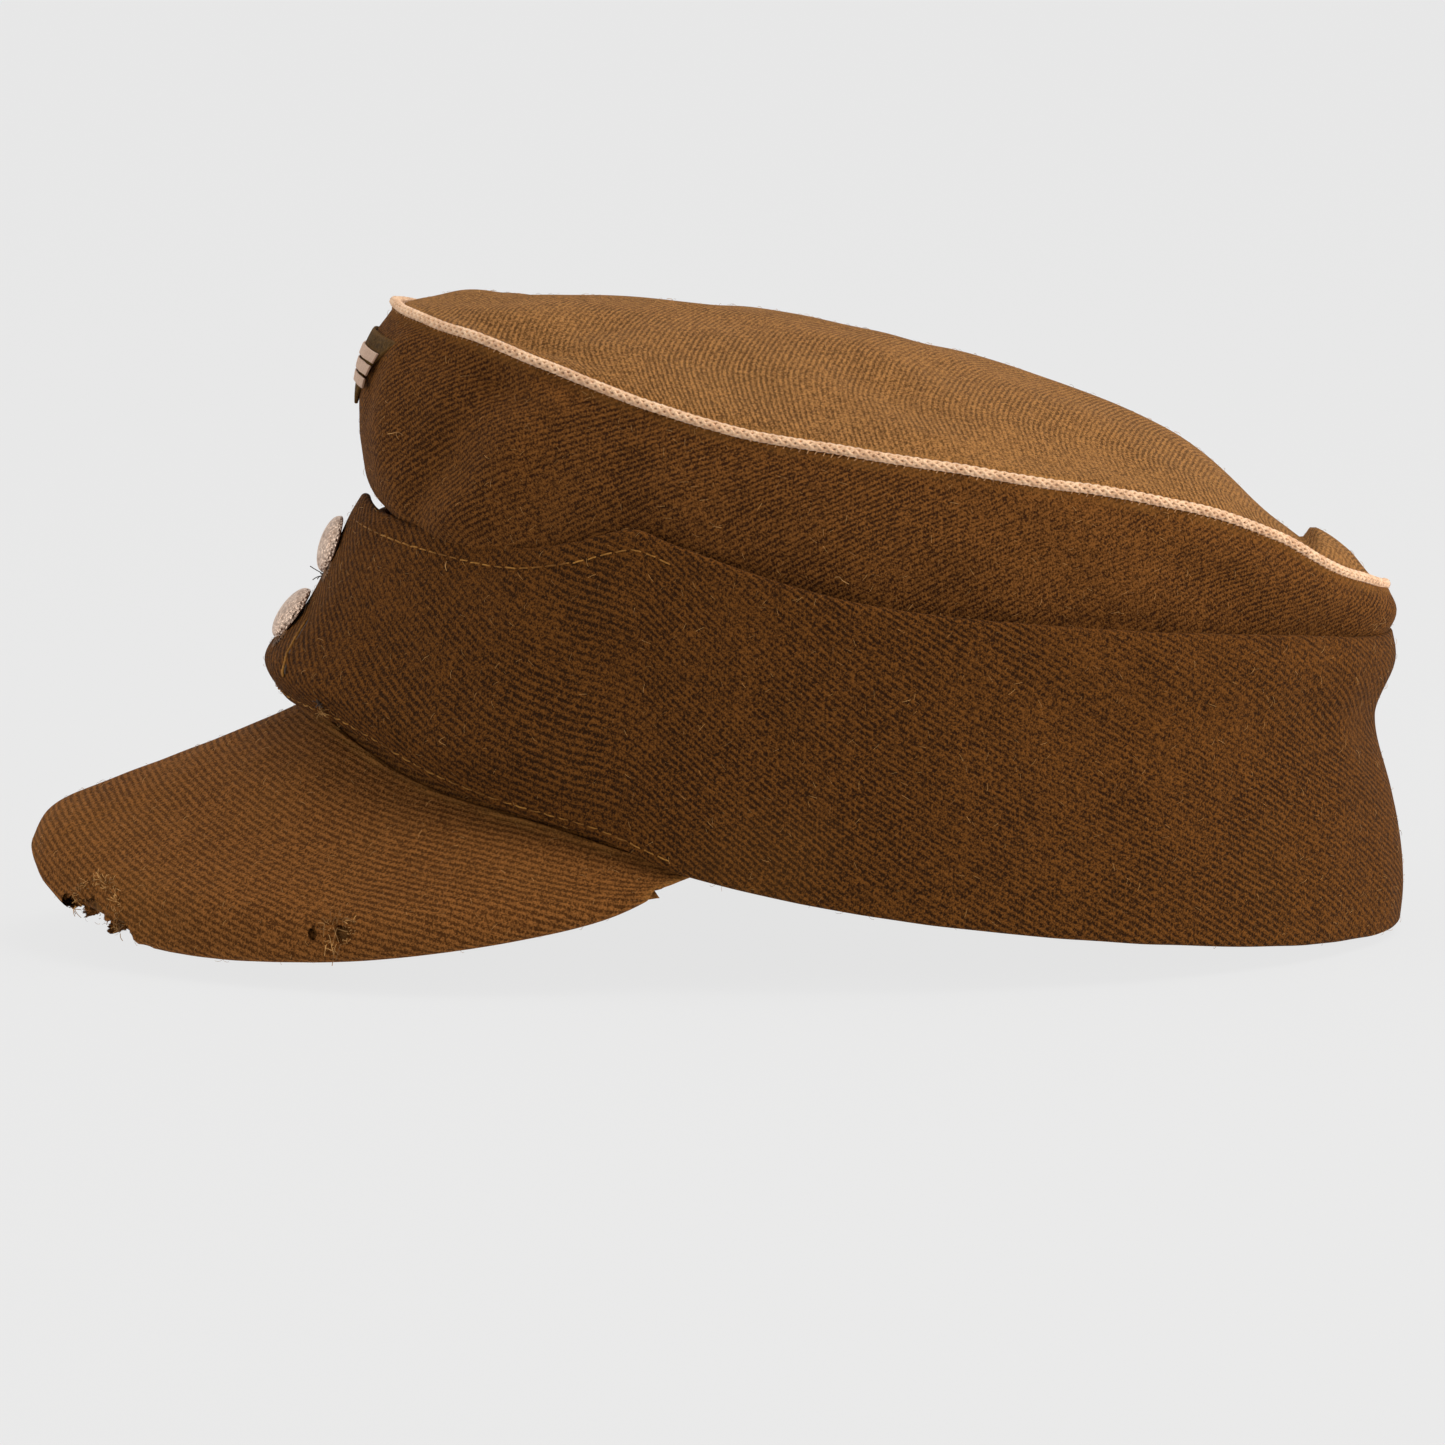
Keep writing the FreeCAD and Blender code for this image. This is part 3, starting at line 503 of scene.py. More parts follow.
wool_side = wool(
    "wool_side", paint(47, 25, 7), paint(122, 76, 32),
    pitch=1.05, slope=-38.0, relief=0.22, fuzz=0.36, worn=paint(146, 98, 46),
)
crown_sides = []
for word, sign, seed in (("left", 1, 11), ("right", -1, 12)):
    angle, share = grid(edged(-0.05, 180.05, 190, 0.8), edged(0.0, 1.0, 84, 0.009))
    points = crown_surface(angle * sign, share)
    normals = outward(points, from_axis(points))
    mirrored = points * (sign, 1, 1)
    # a deep crease runs down and forwards from the rim, with the cloth standing out on each side
    fold = dents(
        mirrored,
        ((47, -42, 117), (37, -56, 93), 4.6, -4.1),
        ((26, -66, 114), (30, -64, 98), 8.0, 2.0),
        ((57, -33, 114), (50, -46, 94), 5.5, 2.9),
        ((30, -60, 122), (56, -34, 114), 3.0, -1.2),
        ((64, -18, 108), (68, -16, 96), 6.0, -1.6),
        ((56, -40, 96), (40, -56, 89), 5.0, 1.6),
        ((72, 34, 100), (74, 70, 84), 7.0, -0.9),
        ((70, 86, 86), (58, 108, 74), 5.0, -1.2),
        ((64, 98, 84), (70, 80, 78), 3.5, 0.7),
        ((30, 130, 70), (44, 122, 66), 4.0, -1.0),
    )
    fold = fold * (1 if sign > 0 else 0.6)
    fold = fold + ripples(points, seed, 30.0, 0.5) + ripples(points, seed + 7, 11.0, 0.14)
    fold *= smooth(share / 0.06) * smooth((0.62 - share) / 0.2)
    fold *= smooth(angle / 5) * smooth((180 - angle) / 5)
    # the back puffs out over the flap's edge, and so does the front beside the lap of the tabs
    fold += 2.4 * np.exp(-(((share - 0.12) / 0.09) ** 2)) * smooth((angle - 138) / 36)
    fold += 2.0 * np.exp(-(((share - 0.40) / 0.09) ** 2)) * np.exp(-(((angle - 36) / 14) ** 2))
    points = points + normals * fold[..., None]
    # the seam turns the cloth in beside the front and back centre lines
    seam = np.exp(-((angle / 0.9) ** 2)) + np.exp(-(((180 - angle) / 0.9) ** 2))
    points = points - normals * (seam * 0.7)[..., None]
    crown_side = cloth("crown_side_" + word + "_cloth", points, from_axis(points), 0.0, 1.4, wool_side, "cap")
    crown_sides.append(crown_side)
    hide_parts("crown_side_" + word)
    "lining_" + word

# Piping: a braided cream and peach cord, about 2 mm thick, sewn into the seam between the top and the
# sides. Eight strands cross over and under one another round the rim.
strand_paint, graph, shader = material("strand_paint", Sheen_Weight=0.3, Specular_IOR_Level=0.25)
place = graph.add("ShaderNodeTexCoord", out=3)
soil = graph.noise(place, 90.0, 4.0, 0.65)
fibre = graph.noise(place, 2400.0, 2.0, 0.7)
tone = graph.noise(place, 420.0, 2.0)
colour = graph.mix(tone.between(0.35, 0.65), paint(214, 168, 128), paint(236, 194, 154))
colour = graph.mix(soil.between(0.55, 0.85) * 0.15, colour, paint(150, 104, 62))
colour = graph.mix(fibre.between(0.45, 0.8) * 0.3, colour, paint(255, 236, 208))
finish_material(graph, shader, colour, 0.75 + fibre * 0.2, fibre * 0.25, 0.001)


def guide(name, points, normals):
    """A line through points, in millimetres, that carries the cloth's direction at each point."""
    data = bpy.data.meshes.new(name)
    pairs = [(i, i + 1) for i in range(len(points) - 1)]
    data.from_pydata((points * MM).tolist(), pairs, [])
    lift = data.attributes.new("lift", "FLOAT_VECTOR", "POINT")
    lift.data.foreach_set("vector", normals.astype(np.float32).ravel())
    made = bpy.data.objects.new(name, data)
    bpy.context.scene.collection.objects.link(made)
    return made


def node_group(name, sockets):
    """An empty Geometry Nodes tree with these inputs; returns the tree, its graph and its inputs."""
    tree = bpy.data.node_groups.new(name, "GeometryNodeTree")
    tree.interface.new_socket("Geometry", in_out="OUTPUT", socket_type="NodeSocketGeometry")
    tree.interface.new_socket("Geometry", in_out="INPUT", socket_type="NodeSocketGeometry")
    for label, kind in sockets:
        tree.interface.new_socket(label, in_out="INPUT", socket_type=kind)
    graph = Graph(tree)
    entry = tree.nodes.new("NodeGroupInput")
    inputs = {socket.name: Value(graph, socket) for socket in entry.outputs}
    return tree, graph, inputs


def end_group(tree, graph, shape, paint_on):
    shape = graph.add("GeometryNodeRealizeInstances", {}, {0: shape})
    shape = graph.add("GeometryNodeSetMaterial", {}, {"Geometry": shape, "Material": paint_on})
    leave = tree.nodes.new("NodeGroupOutput")
    tree.links.new(shape.socket, leave.inputs[0])


def make_mesh(name, source, tree, values, body):
    """Runs a tree on a source object and keeps the result as a plain mesh on a body."""
    modifier = source.modifiers.new("nodes", "NODES")
    modifier.node_group = tree
    for item in tree.interface.items_tree:
        if item.in_out == "INPUT" and item.name in values:
            modifier[item.identifier] = values[item.name]
    graph = bpy.context.evaluated_depsgraph_get()
    data = bpy.data.meshes.new_from_object(source.evaluated_get(graph))
    bpy.data.objects.remove(source)
    data.name = name
    made = bpy.data.objects.new(name, data)
    bpy.context.scene.collection.objects.link(made)
    if body:
        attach(made, body)
    return made


braid, graph, given = node_group(
    "braid", [("Paint", "NodeSocketMaterial"), ("Turns", "NodeSocketInt"), ("Core", "NodeSocketFloat"),
              ("Strand", "NodeSocketFloat"), ("Weave", "NodeSocketFloat"), ("Count", "NodeSocketInt")])
line = graph.add("GeometryNodeMeshToCurve", {}, {0: given["Geometry"]})
line = graph.add("GeometryNodeResampleCurve", {}, {"Curve": line, "Count": given["Count"]})
copies = graph.add("GeometryNodeDuplicateElements", {"domain": "SPLINE"}, {"Geometry": line, "Amount": 8})
number = Value(graph, copies.socket.node.outputs["Duplicate Index"])
way = graph.add("GeometryNodeSplineParameter")
parity = number.maths("MODULO", 2.0)
turning = 1.0 - parity * 2.0
around = way * given["Turns"] * turning * math.tau + (number / 2.0).maths("FLOOR") * (math.tau / 4)
over = (way * given["Turns"] * (4 * math.tau)).maths("COSINE") * turning * given["Weave"]
radius = given["Core"] + over
lift = graph.add("GeometryNodeInputNamedAttribute", {"data_type": "FLOAT_VECTOR"}, {"Name": "lift"})
tangent = graph.add("GeometryNodeInputTangent")
cross = graph.add("ShaderNodeVectorMath", {"operation": "CROSS_PRODUCT"}, {0: tangent, 1: lift})
part_out = graph.add("ShaderNodeVectorMath", {"operation": "SCALE"},
                     {0: lift, "Scale": around.maths("COSINE") * radius})
part_up = graph.add("ShaderNodeVectorMath", {"operation": "SCALE"},
                    {0: cross, "Scale": around.maths("SINE") * radius})
offset = graph.add("ShaderNodeVectorMath", {"operation": "ADD"}, {0: part_out, 1: part_up})
strands = graph.add("GeometryNodeSetPosition", {}, {"Geometry": copies, "Offset": offset})
profile = graph.add("GeometryNodeCurvePrimitiveCircle", {}, {"Resolution": 5, "Radius": given["Strand"]})
tubes = graph.add("GeometryNodeCurveToMesh", {}, {"Curve": strands, "Profile Curve": profile})
end_group(braid, graph, tubes, given["Paint"])

angle = np.linspace(0, 360, 721)
a = np.radians(angle)
rim_y = RIM_MIDDLE - RIM_HALF_LENGTH * np.cos(a)
rim_z = along(RIM_HEIGHT, rim_y) + 0.12 * np.sin(a * 9 + 1) + 0.1 * np.sin(a * 23)
rim_z = rim_z - slump(RIM_HALF_WIDTH * np.sin(a), rim_y)
rim_y = rim_y - 0.2 * smooth((-np.cos(a) - 0.8) / 0.2)
rim = np.stack([RIM_HALF_WIDTH * np.sin(a), rim_y, rim_z], -1)
rim_way = unit(np.gradient(rim, axis=0))
rim_out = unit(np.cross(rim_way, (0, 0, 1.0)))
rim_out *= np.sign((rim_out[180] * (rim[180] - (0, RIM_MIDDLE, rim[180][2]))).sum())
piping = make_mesh("piping_braid", guide("piping_guide", rim, rim_out), braid,
                   {"Paint": strand_paint, "Turns": 74, "Core": 0.68 * MM, "Strand": 0.36 * MM,
                    "Weave": 0.07 * MM, "Count": 1500}, "cap")
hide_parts("crown_piping")

# Inside the crown: a natural canvas stiffener behind the front, a cotton lining in two sides and a
# top, and a leather sweatband turned up against the lining and sewn along its lower edge.
canvas_paint, graph, shader = material("canvas_paint", Specular_IOR_Level=0.2)
place = graph.add("ShaderNodeTexCoord", out=3)
x_way = graph.add("ShaderNodeSeparateXYZ", {}, {0: place}) * 1000.0
z_way = graph.add("ShaderNodeSeparateXYZ", {}, {0: place}, 2) * 1000.0
weave = x_way.wave() * 0.5 + z_way.wave() * 0.5
blotch = graph.noise(place, 60.0)
colour = graph.mix(weave * 0.6 + blotch * 0.4, paint(150, 132, 98), paint(208, 192, 156))
finish_material(graph, shader, colour, 0.9 + blotch * 0.05, weave * 0.3, 0.001)
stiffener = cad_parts["front_interlining"]
stiffener.data.materials.clear()
stiffener.data.materials.append(canvas_paint)

cotton, graph, shader = material("cotton", Sheen_Weight=0.12, Specular_IOR_Level=0.3)
chart = graph.add("ShaderNodeUVMap", {"uv_map": "cloth"})
u = graph.add("ShaderNodeSeparateXYZ", {}, {0: chart}) * 1000.0
v = graph.add("ShaderNodeSeparateXYZ", {}, {0: chart}, 1) * 1000.0
place = graph.add("ShaderNodeTexCoord", out=3)
blotch = graph.noise(place, 30.0, 4.0, 0.6)
grain = graph.noise(place, 1400.0, 2.0)
threads = (u / 0.55 + grain * 0.3).wave() * 0.5 + (v / 0.55 + grain * 0.3).wave() * 0.5
colour = graph.mix(threads * 0.5 + grain * 0.5, paint(92, 80, 58), paint(138, 122, 92))
edge = graph.add("ShaderNodeAttribute", {"attribute_name": "edge"}, out=2)
# painted shade: the lining darkens towards its edges, where it runs into the seams; real stains also darken
# it in blotches
seam_shade_and_stain = (1.0 - edge.between(0.002, 0.030)) * 0.35 + (blotch - 0.45).between(0.0, 0.3) * 0.3
colour = graph.mix(seam_shade_and_stain, colour, paint(70, 54, 34))
finish_material(graph, shader, colour, 0.72 + blotch * 0.2, threads * 0.12 + grain * 0.08, 0.001)

for word, sign, seed in (("left", 1, 21), ("right", -1, 22)):
    angle, share = grid(edged(-0.1, 180.1, 120, 0.5), edged(0.1, 0.96, 52, 0.008))
    points = crown_surface(angle * sign, share)
    normals = outward(points, from_axis(points))
    # the loose lining falls in upright folds
    folds = 0.5 * np.sin(np.radians(angle) * 11 + share * 2.2)
    folds = folds + 0.3 * np.sin(np.radians(angle) * 23 + 1 - share * 3)
    room = smooth((share - 0.1) / 0.12) * smooth((0.72 - share) / 0.2)
    points = points - normals * ((folds + 0.8) * room)[..., None]
    lining = cloth("lining_" + word + "_cloth", points, from_axis(points), 3.7, 4.2, cotton, "cap")
    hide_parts("lining_" + word)
    "crown_side_%s_cloth" % word

side = np.linspace(-1, 1, 81)
s, t = grid(side, side)
x = s * np.sqrt(1 - t * t / 2) * (RIM_HALF_WIDTH - 6.5)
y = RIM_MIDDLE + t * np.sqrt(1 - s * s / 2) * (RIM_HALF_LENGTH - 6.5)
points = top_surface(x, y)
points[..., 2] += ripples(points, 31, 40.0, 0.25) - 0.35
overhead = skyward(points)
top_lining = cloth("top_lining_cloth", points, overhead, 2.0 + 0.9, 2.5 + 0.9, cotton, "cap")
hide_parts("lining_top")

hide, graph, shader = material("hide", Specular_IOR_Level=0.45, Coat_Roughness=0.4)
place = graph.add("ShaderNodeTexCoord", out=3)
pores = graph.add("ShaderNodeTexVoronoi", {"feature": "DISTANCE_TO_EDGE"}, {"Vector": place, "Scale": 700.0})
cracks = graph.add("ShaderNodeTexVoronoi", {"feature": "DISTANCE_TO_EDGE"}, {"Vector": place, "Scale": 120.0})
blotch = graph.noise(place, 35.0, 5.0, 0.6)
edge = graph.add("ShaderNodeAttribute", {"attribute_name": "edge"}, out=2)
colour = graph.mix(blotch.between(0.3, 0.7), paint(98, 58, 30), paint(146, 96, 56))
colour = graph.mix((1.0 - edge.between(0.001, 0.006)) * 0.5, colour, paint(58, 32, 16))
crackle = (1.0 - cracks.between(0.0, 0.06)) * blotch.between(0.45, 0.75)
colour = graph.mix(crackle * 0.6, colour, paint(66, 38, 20))
grain_height = pores.between(0.0, 0.25) * 0.12 - crackle * 0.15
finish_material(graph, shader, colour, 0.42 + blotch * 0.35, grain_height, 0.001)
angle, share = grid(edged(-179.4, 179.4, 200, 0.5), edged(0.66, 0.99, 22, 0.012))
points = crown_surface(angle, share)
normals = outward(points, from_axis(points))
waver = ripples(points, 41, 26.0, 0.35) * smooth((share - 0.66) / 0.08) * 0.8
points = points - normals * (waver + 0.2)[..., None]
band = cloth("sweatband_leather", points, from_axis(points), 5.0, 6.2, hide, "cap", start=-200.0)
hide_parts("sweatband")

# Topstitching: golden brown thread, each stitch a short raised loop that sinks into the cloth at
# both ends. One tree makes every sewn row on the cap.
thread_gold, graph, shader = material("thread_gold", Specular_IOR_Level=0.15)
place = graph.add("ShaderNodeTexCoord", out=3)
twist = graph.noise(place, 1500.0, 2.0)
tone = graph.noise(place, 160.0, 3.0, 0.6)
colour = graph.mix(tone.between(0.35, 0.65), paint(116, 74, 26), paint(174, 122, 54))
colour = graph.mix(twist.between(0.4, 0.7) * 0.4, colour, paint(88, 54, 22))
finish_material(graph, shader, colour, 0.6 + twist * 0.25, twist * 0.1, 0.001)

stitches, graph, given = node_group(
    "stitch_row", [("Paint", "NodeSocketMaterial"), ("Pitch", "NodeSocketFloat"),
                   ("Length", "NodeSocketFloat"),
                   ("Thread", "NodeSocketFloat"), ("Rise", "NodeSocketFloat"), ("Slant", "NodeSocketFloat"),
                   ("Loose", "NodeSocketFloat"), ("Seed", "NodeSocketInt")])
line = graph.add("GeometryNodeMeshToCurve", {}, {0: given["Geometry"]})
line = graph.add("GeometryNodeResampleCurve", {"mode": "LENGTH"}, {"Curve": line, "Length": given["Pitch"]})
half_length = given["Length"] * 0.5
low = given["Rise"] * -0.9
left_end = graph.add("ShaderNodeCombineXYZ", {}, {0: half_length * -1.0, 2: low})
right_end = graph.add("ShaderNodeCombineXYZ", {}, {0: half_length, 2: low})
peak = graph.add("ShaderNodeCombineXYZ", {}, {2: given["Rise"] * 2.6})
bend = graph.add("GeometryNodeCurveQuadraticBezier", {},
                 {"Resolution": 6, 1: left_end, 2: peak, 3: right_end})
profile = graph.add("GeometryNodeCurvePrimitiveCircle", {}, {"Resolution": 6, "Radius": given["Thread"]})
one = graph.add("GeometryNodeCurveToMesh", {}, {"Curve": bend, "Profile Curve": profile, "Fill Caps": True})
lift = graph.add("GeometryNodeInputNamedAttribute", {"data_type": "FLOAT_VECTOR"}, {"Name": "lift"})
tangent = graph.add("GeometryNodeInputTangent")
upright = graph.add("FunctionNodeAxesToRotation", {"primary_axis": "Z", "secondary_axis": "X"},
                    {0: lift, 1: tangent})
uneven = graph.add("FunctionNodeRandomValue", {"data_type": "FLOAT"},
                   {2: -1.0, 3: 1.0, "Seed": given["Seed"]}, 1)
swing = graph.add("ShaderNodeCombineXYZ", {}, {2: given["Slant"] + uneven * given["Loose"]})
spin = graph.add("FunctionNodeEulerToRotation", {}, {0: swing})
upright = graph.add("FunctionNodeRotateRotation", {"rotation_space": "LOCAL"}, {0: upright, 1: spin})
size = graph.add("FunctionNodeRandomValue", {"data_type": "FLOAT"},
                 {2: 0.82, 3: 1.12, "Seed": given["Seed"] + 1.0}, 1)
row = graph.add("GeometryNodeInstanceOnPoints", {},
                {"Points": line, "Instance": one, "Rotation": upright, "Scale": size})
end_group(stitches, graph, row, given["Paint"])


def sew(name, points, normals, body, paint_on=thread_gold, pitch=3.2, length=2.5, thread=0.2, rise=0.16,
        slant=0.0, loose=0.05, seed=1):
    """A row of stitches along points, in millimetres, on cloth with those normals."""
    values = {"Paint": paint_on, "Pitch": pitch * MM, "Length": length * MM, "Thread": thread * MM,
              "Rise": rise * MM, "Slant": slant, "Loose": loose, "Seed": seed}
    made = make_mesh(name, guide(name + "_guide", points, normals), stitches, values, body)
    made.data.shade_smooth()
    return made


def line_on(surface, angles, gap, from_low=False, depth=0.0, shift=None):
    """Points and normals along a wall, a gap in millimetres from its upper or lower edge."""
    angle, share = grid(angles, np.linspace(0, 1, 121))
    points = surface(angle, share)
    normals = outward(points, from_axis(points))
    if shift is not None:
        points = points + shift(points, normals, angle, share)
    fall = lengths(points, 1)
    wanted = fall[:, -1] - gap if from_low else np.full(len(angles), float(gap))
    place = np.stack([np.interp(wanted[i], fall[i], np.arange(121)) for i in range(len(angles))])
    low = np.clip(place.astype(int), 0, 119)
    f = (place - low)[:, None]
    rows = np.arange(len(angles))
    point = points[rows, low] * (1 - f) + points[rows, low + 1] * f
    normal = unit(normals[rows, low] * (1 - f) + normals[rows, low + 1] * f)
    return point - normal * depth, normal


points, normals = line_on(crown_surface, np.linspace(-179, 179, 500), 2.0, from_low=True, depth=6.3)
sew("sweatband_stitches", points, -normals, "cap", pitch=3.4, length=2.4)

# Piping stitches: the loops that hold the cord show as fine slanting stitches just under it.
thread_pale, graph, shader = material("thread_pale", Sheen_Weight=0.2, Specular_IOR_Level=0.3)
place = graph.add("ShaderNodeTexCoord", out=3)
tone = graph.noise(place, 260.0, 3.0, 0.6)
colour = graph.mix(tone.between(0.35, 0.65), paint(120, 78, 38), paint(200, 150, 98))
finish_material(graph, shader, colour, 0.7 + tone * 0.2, tone * 0.1, 0.001)
points, normals = line_on(crown_surface, np.linspace(-179.5, 179.5, 700), 0.35, depth=-0.05)
sew("piping_stitches", points, normals, "cap", thread_pale, pitch=1.6, length=1.3, thread=0.12,
    rise=0.12, slant=1.0, loose=0.3, seed=4)

# Band strip: a folded strip of the crown's cloth round the front, which the peak is sewn under.
# One row of stitches runs along its middle.
wool_band = wool("wool_band", paint(48, 26, 7), paint(112, 70, 28), 1.1, -8.0, 0.22, 0.32, paint(136, 90, 42))
angle, share = grid(edged(-73.5, 73.5, 200, 0.6), edged(0.66, 1.035, 28, 0.014))
share = np.minimum(share, 0.985 + 0.05 * smooth((72 - np.abs(angle)) / 9))
points = crown_surface(angle, share)
normals = outward(points, from_axis(points))
points = points + normals * (ripples(points, 51, 22.0, 0.2) * smooth((1 - share) / 0.1))[..., None]
strip = cloth("front_band_cloth", points, from_axis(points), -1.45, -0.25, wool_band, "cap", start=-150.0)
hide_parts("front_band")
points, normals = line_on(crown_surface, np.linspace(-72.5, 72.5, 300), 3.4, from_low=True, depth=-1.5)
sew("band_stitches", points, normals, "cap", pitch=3.1, length=2.3, seed=6)

# Peak: wool cloth drawn over a pressed fibre board and turned under round its edge, with a thinner
# cloth sewn over the turning beneath. The cloth is torn at the front corner and rubbed through.
PEAK_EDGE = [(0, -141.9, 16.0), (14, -140.2, 13.4), (28, -134.2, 7.9), (42, -123.5, 3.9), (56, -107.5, 2.1),
             (70, -84, 3.4), (79, -58, 6.9), (81, -34, 11.8), (79.6, -18, 16.8), (78.4, -12, 19.6)]
PEAK_OUT = [(0.0, 0.0), (0.25, 0.25), (0.5, 0.5), (0.75, 0.76), (0.9, 0.93), (1.0, 1.0)]
PEAK_DOWN = [(0.0, 0.0), (0.25, 0.19), (0.5, 0.38), (0.75, 0.56), (0.9, 0.72), (1.0, 1.0)]
TEMPLE = 73.5  # degrees round from the front centre


def spline_through(knots, count):
    """Points evenly spaced by length on a smooth line through the knots."""
    knots = np.array(knots, float)
    t = np.concatenate([[0], np.cumsum(np.linalg.norm(np.diff(knots, axis=0), axis=1))])
    h = np.diff(t)
    n = len(t)
    system = np.eye(n)
    right = np.zeros((n, 3))
    for i in range(1, n - 1):
        system[i, i - 1:i + 2] = h[i - 1], 2 * (h[i - 1] + h[i]), h[i]
        right[i] = 6 * ((knots[i + 1] - knots[i]) / h[i] - (knots[i] - knots[i - 1]) / h[i - 1])
    bend = np.linalg.solve(system, right)
    fine = np.linspace(0, t[-1], 4000)
    i = np.clip(np.searchsorted(t, fine, side="right") - 1, 0, n - 2)
    a = ((t[i + 1] - fine) / h[i])[:, None]
    b = 1 - a
    curved = (a ** 3 - a) * bend[i] + (b ** 3 - b) * bend[i + 1]
    line = a * knots[i] + b * knots[i + 1] + curved * h[i][:, None] ** 2 / 6
    run = np.concatenate([[0], np.cumsum(np.linalg.norm(np.diff(line, axis=0), axis=1))])
    even = np.linspace(0, run[-1], count)
    return np.stack([np.interp(even, run, line[:, k]) for k in range(3)], -1)


peak_rim = spline_through([(-x, y, z) for x, y, z in PEAK_EDGE[:0:-1]] + PEAK_EDGE, 2001)


def peak_surface(angle, share):
    """share 0 at the seam with the band strip, 1 at the free edge."""
    column = angle[:, :1]
    low = crown_surface(column + [[0, 0]], np.broadcast_to([[0.995, 1.0]], (len(angle), 2)))
    line = low[:, 1]
    along_band = np.gradient(line, axis=0)
    out = unit(np.cross(along_band, low[:, 1] - low[:, 0]))
    out *= np.sign((out * from_axis(line)).sum(-1))[:, None]
    seam = (line + out * 1.95)[:, None]
    place = (angle / TEMPLE + 1) / 2 * 2000
    edge = np.stack([np.interp(place, np.arange(2001), peak_rim[:, k]) for k in range(3)], -1)
    reach = along(PEAK_OUT, share)[..., None]
    fall = along(PEAK_DOWN, share)[..., None]
    return seam + (edge - seam) * np.concatenate([reach, reach, fall], -1)


def rolled(points, facing, radius, tail):
    """The grid with its last edge turned under in a round fold, with tail more rows inside."""
    normals = outward(points, facing)
    last, normal = points[:, -1], normals[:, -1]
    onward = unit(points[:, -1] - points[:, -2])
    rows = [points]
    for turn in np.radians(np.linspace(14, 180, 13)):
        ring = last - normal * radius + (normal * math.cos(turn) + onward * math.sin(turn)) * radius
        rows.append(ring[:, None])
    for k in range(2, tail + 2):
        rows.append((points[:, -k] - normals[:, -k] * 2 * radius)[:, None])
    return np.concatenate(rows, axis=1)


wool_peak = wool(
    "wool_peak", paint(72, 41, 13), paint(142, 90, 42),
    pitch=1.4, slope=-4.0, relief=0.26, fuzz=0.36, worn=paint(166, 114, 56),
)
graph = Graph(wool_peak.node_tree)
shader = wool_peak.node_tree.nodes["Principled BSDF"]
place = graph.add("ShaderNodeTexCoord", out=3)
ragged = graph.noise(place, 260.0, 4.0, 0.7)
whole = None
for x, y, z, radius in ((73, -73.5, 11.5, 1.7), (71, -79.5, 10.8, 0.9), (37, -127.5, 7.5, 5.6),
                        (44, -121, 5.0, 4.8),
                        (31, -131.5, 8.5, 4.0)):
    span = graph.add("ShaderNodeVectorMath", {"operation": "DISTANCE"},
                     {0: place, 1: (x * MM, y * MM, z * MM)}, 1)
    cloth_left = (span * 1000.0 + (ragged - 0.5) * 5.0).between(radius, radius + 0.25)
    whole = cloth_left if whole is None else whole.maths("MINIMUM", cloth_left)
graph.tree.links.new(whole.socket, shader.inputs["Alpha"])

angle, share = grid(edged(-TEMPLE, TEMPLE, 230, 0.5), np.linspace(0.0, 0.962, 96))
points = peak_surface(angle, share)
overhead = skyward(points)
normals = outward(points, overhead)
uneven = ripples(points, 61, 28.0, 0.28) + ripples(points, 62, 10.0, 0.09)
uneven += dents(points, ((46, -118, 8), (60, -98, 8), 4.0, -0.5), ((30, -112, 30), (58, -84, 26), 8.0, -0.4))
points = points + normals * (uneven * smooth(share / 0.08))[..., None]
torn = dent(points, (36, -126, 5), (46, -116, 5), 5.0, 1.0)
points = points - normals * (torn * (0.6 + 0.5 * np.sin(points[..., 1] * 1.9)))[..., None]
points = rolled(points, overhead, 2.1, 10)
overhead = skyward(points)
cover = cloth("peak_cover", points, overhead, 0.0, 0.9, wool_peak, "cap", start=-200.0)
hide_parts("peak_top_cloth")
# the cloth under the peak gets darker colours than the top's cloth as painted shade, because it faces down
# under the peak
wool_under_painted_shade = wool("wool_under_painted_shade", paint(44, 25, 7), paint(96, 60, 24), 1.1, 30.0, 0.16, 0.3, paint(120, 80, 38))
angle, share = grid(edged(-TEMPLE + 0.8, TEMPLE - 0.8, 160, 0.5), edged(0.005, 0.86, 60, 0.012))
points = peak_surface(angle, share * (0.3 + 0.7 * smooth((TEMPLE - np.abs(angle)) / 14)))
points[..., 2] += 2.9 * (1 - smooth((TEMPLE - np.abs(angle)) / 14))
overhead = skyward(points)
under = cloth("peak_lining_cloth", points, overhead, 4.25, 4.75, wool_under_painted_shade, "cap", start=-200.0)
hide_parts("peak_under_cloth")
angle, share = grid(np.linspace(-TEMPLE + 15, TEMPLE - 15, 400), np.linspace(0.82, 0.86, 3))
points = peak_surface(angle, share)
normals = outward(points, skyward(points))
sew("peak_under_stitches", points[:, 1] - normals[:, 1] * 4.8, -normals[:, 1], "cap",
    pitch=2.9, length=2.1, seed=8)
fibre_board, graph, shader = material("fibre_board", Specular_IOR_Level=0.1)
place = graph.add("ShaderNodeTexCoord", out=3)
fleck = graph.noise(place, 1300.0, 3.0, 0.7)
cloud = graph.noise(place, 220.0, 4.0, 0.6)
colour = graph.mix(fleck.between(0.3, 0.7), paint(52, 30, 11), paint(112, 72, 34))
colour = graph.mix(cloud.between(0.4, 0.7) * 0.5, colour, paint(126, 88, 46))
finish_material(graph, shader, colour, 0.8 + cloud * 0.15, fleck * 0.5, 0.001)
angle, share = grid(edged(-TEMPLE + 0.6, TEMPLE - 0.6, 150, 0.5), edged(0.005, 0.955, 60, 0.012))
points = peak_surface(angle, share * (0.3 + 0.7 * smooth((TEMPLE - np.abs(angle)) / 14)))
points[..., 2] += 1.0 * (1 - smooth((TEMPLE - np.abs(angle)) / 14))
board = cloth("peak_fibre_board", points, skyward(points), 1.2, 2.9, fibre_board, "cap")
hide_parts("peak_board")

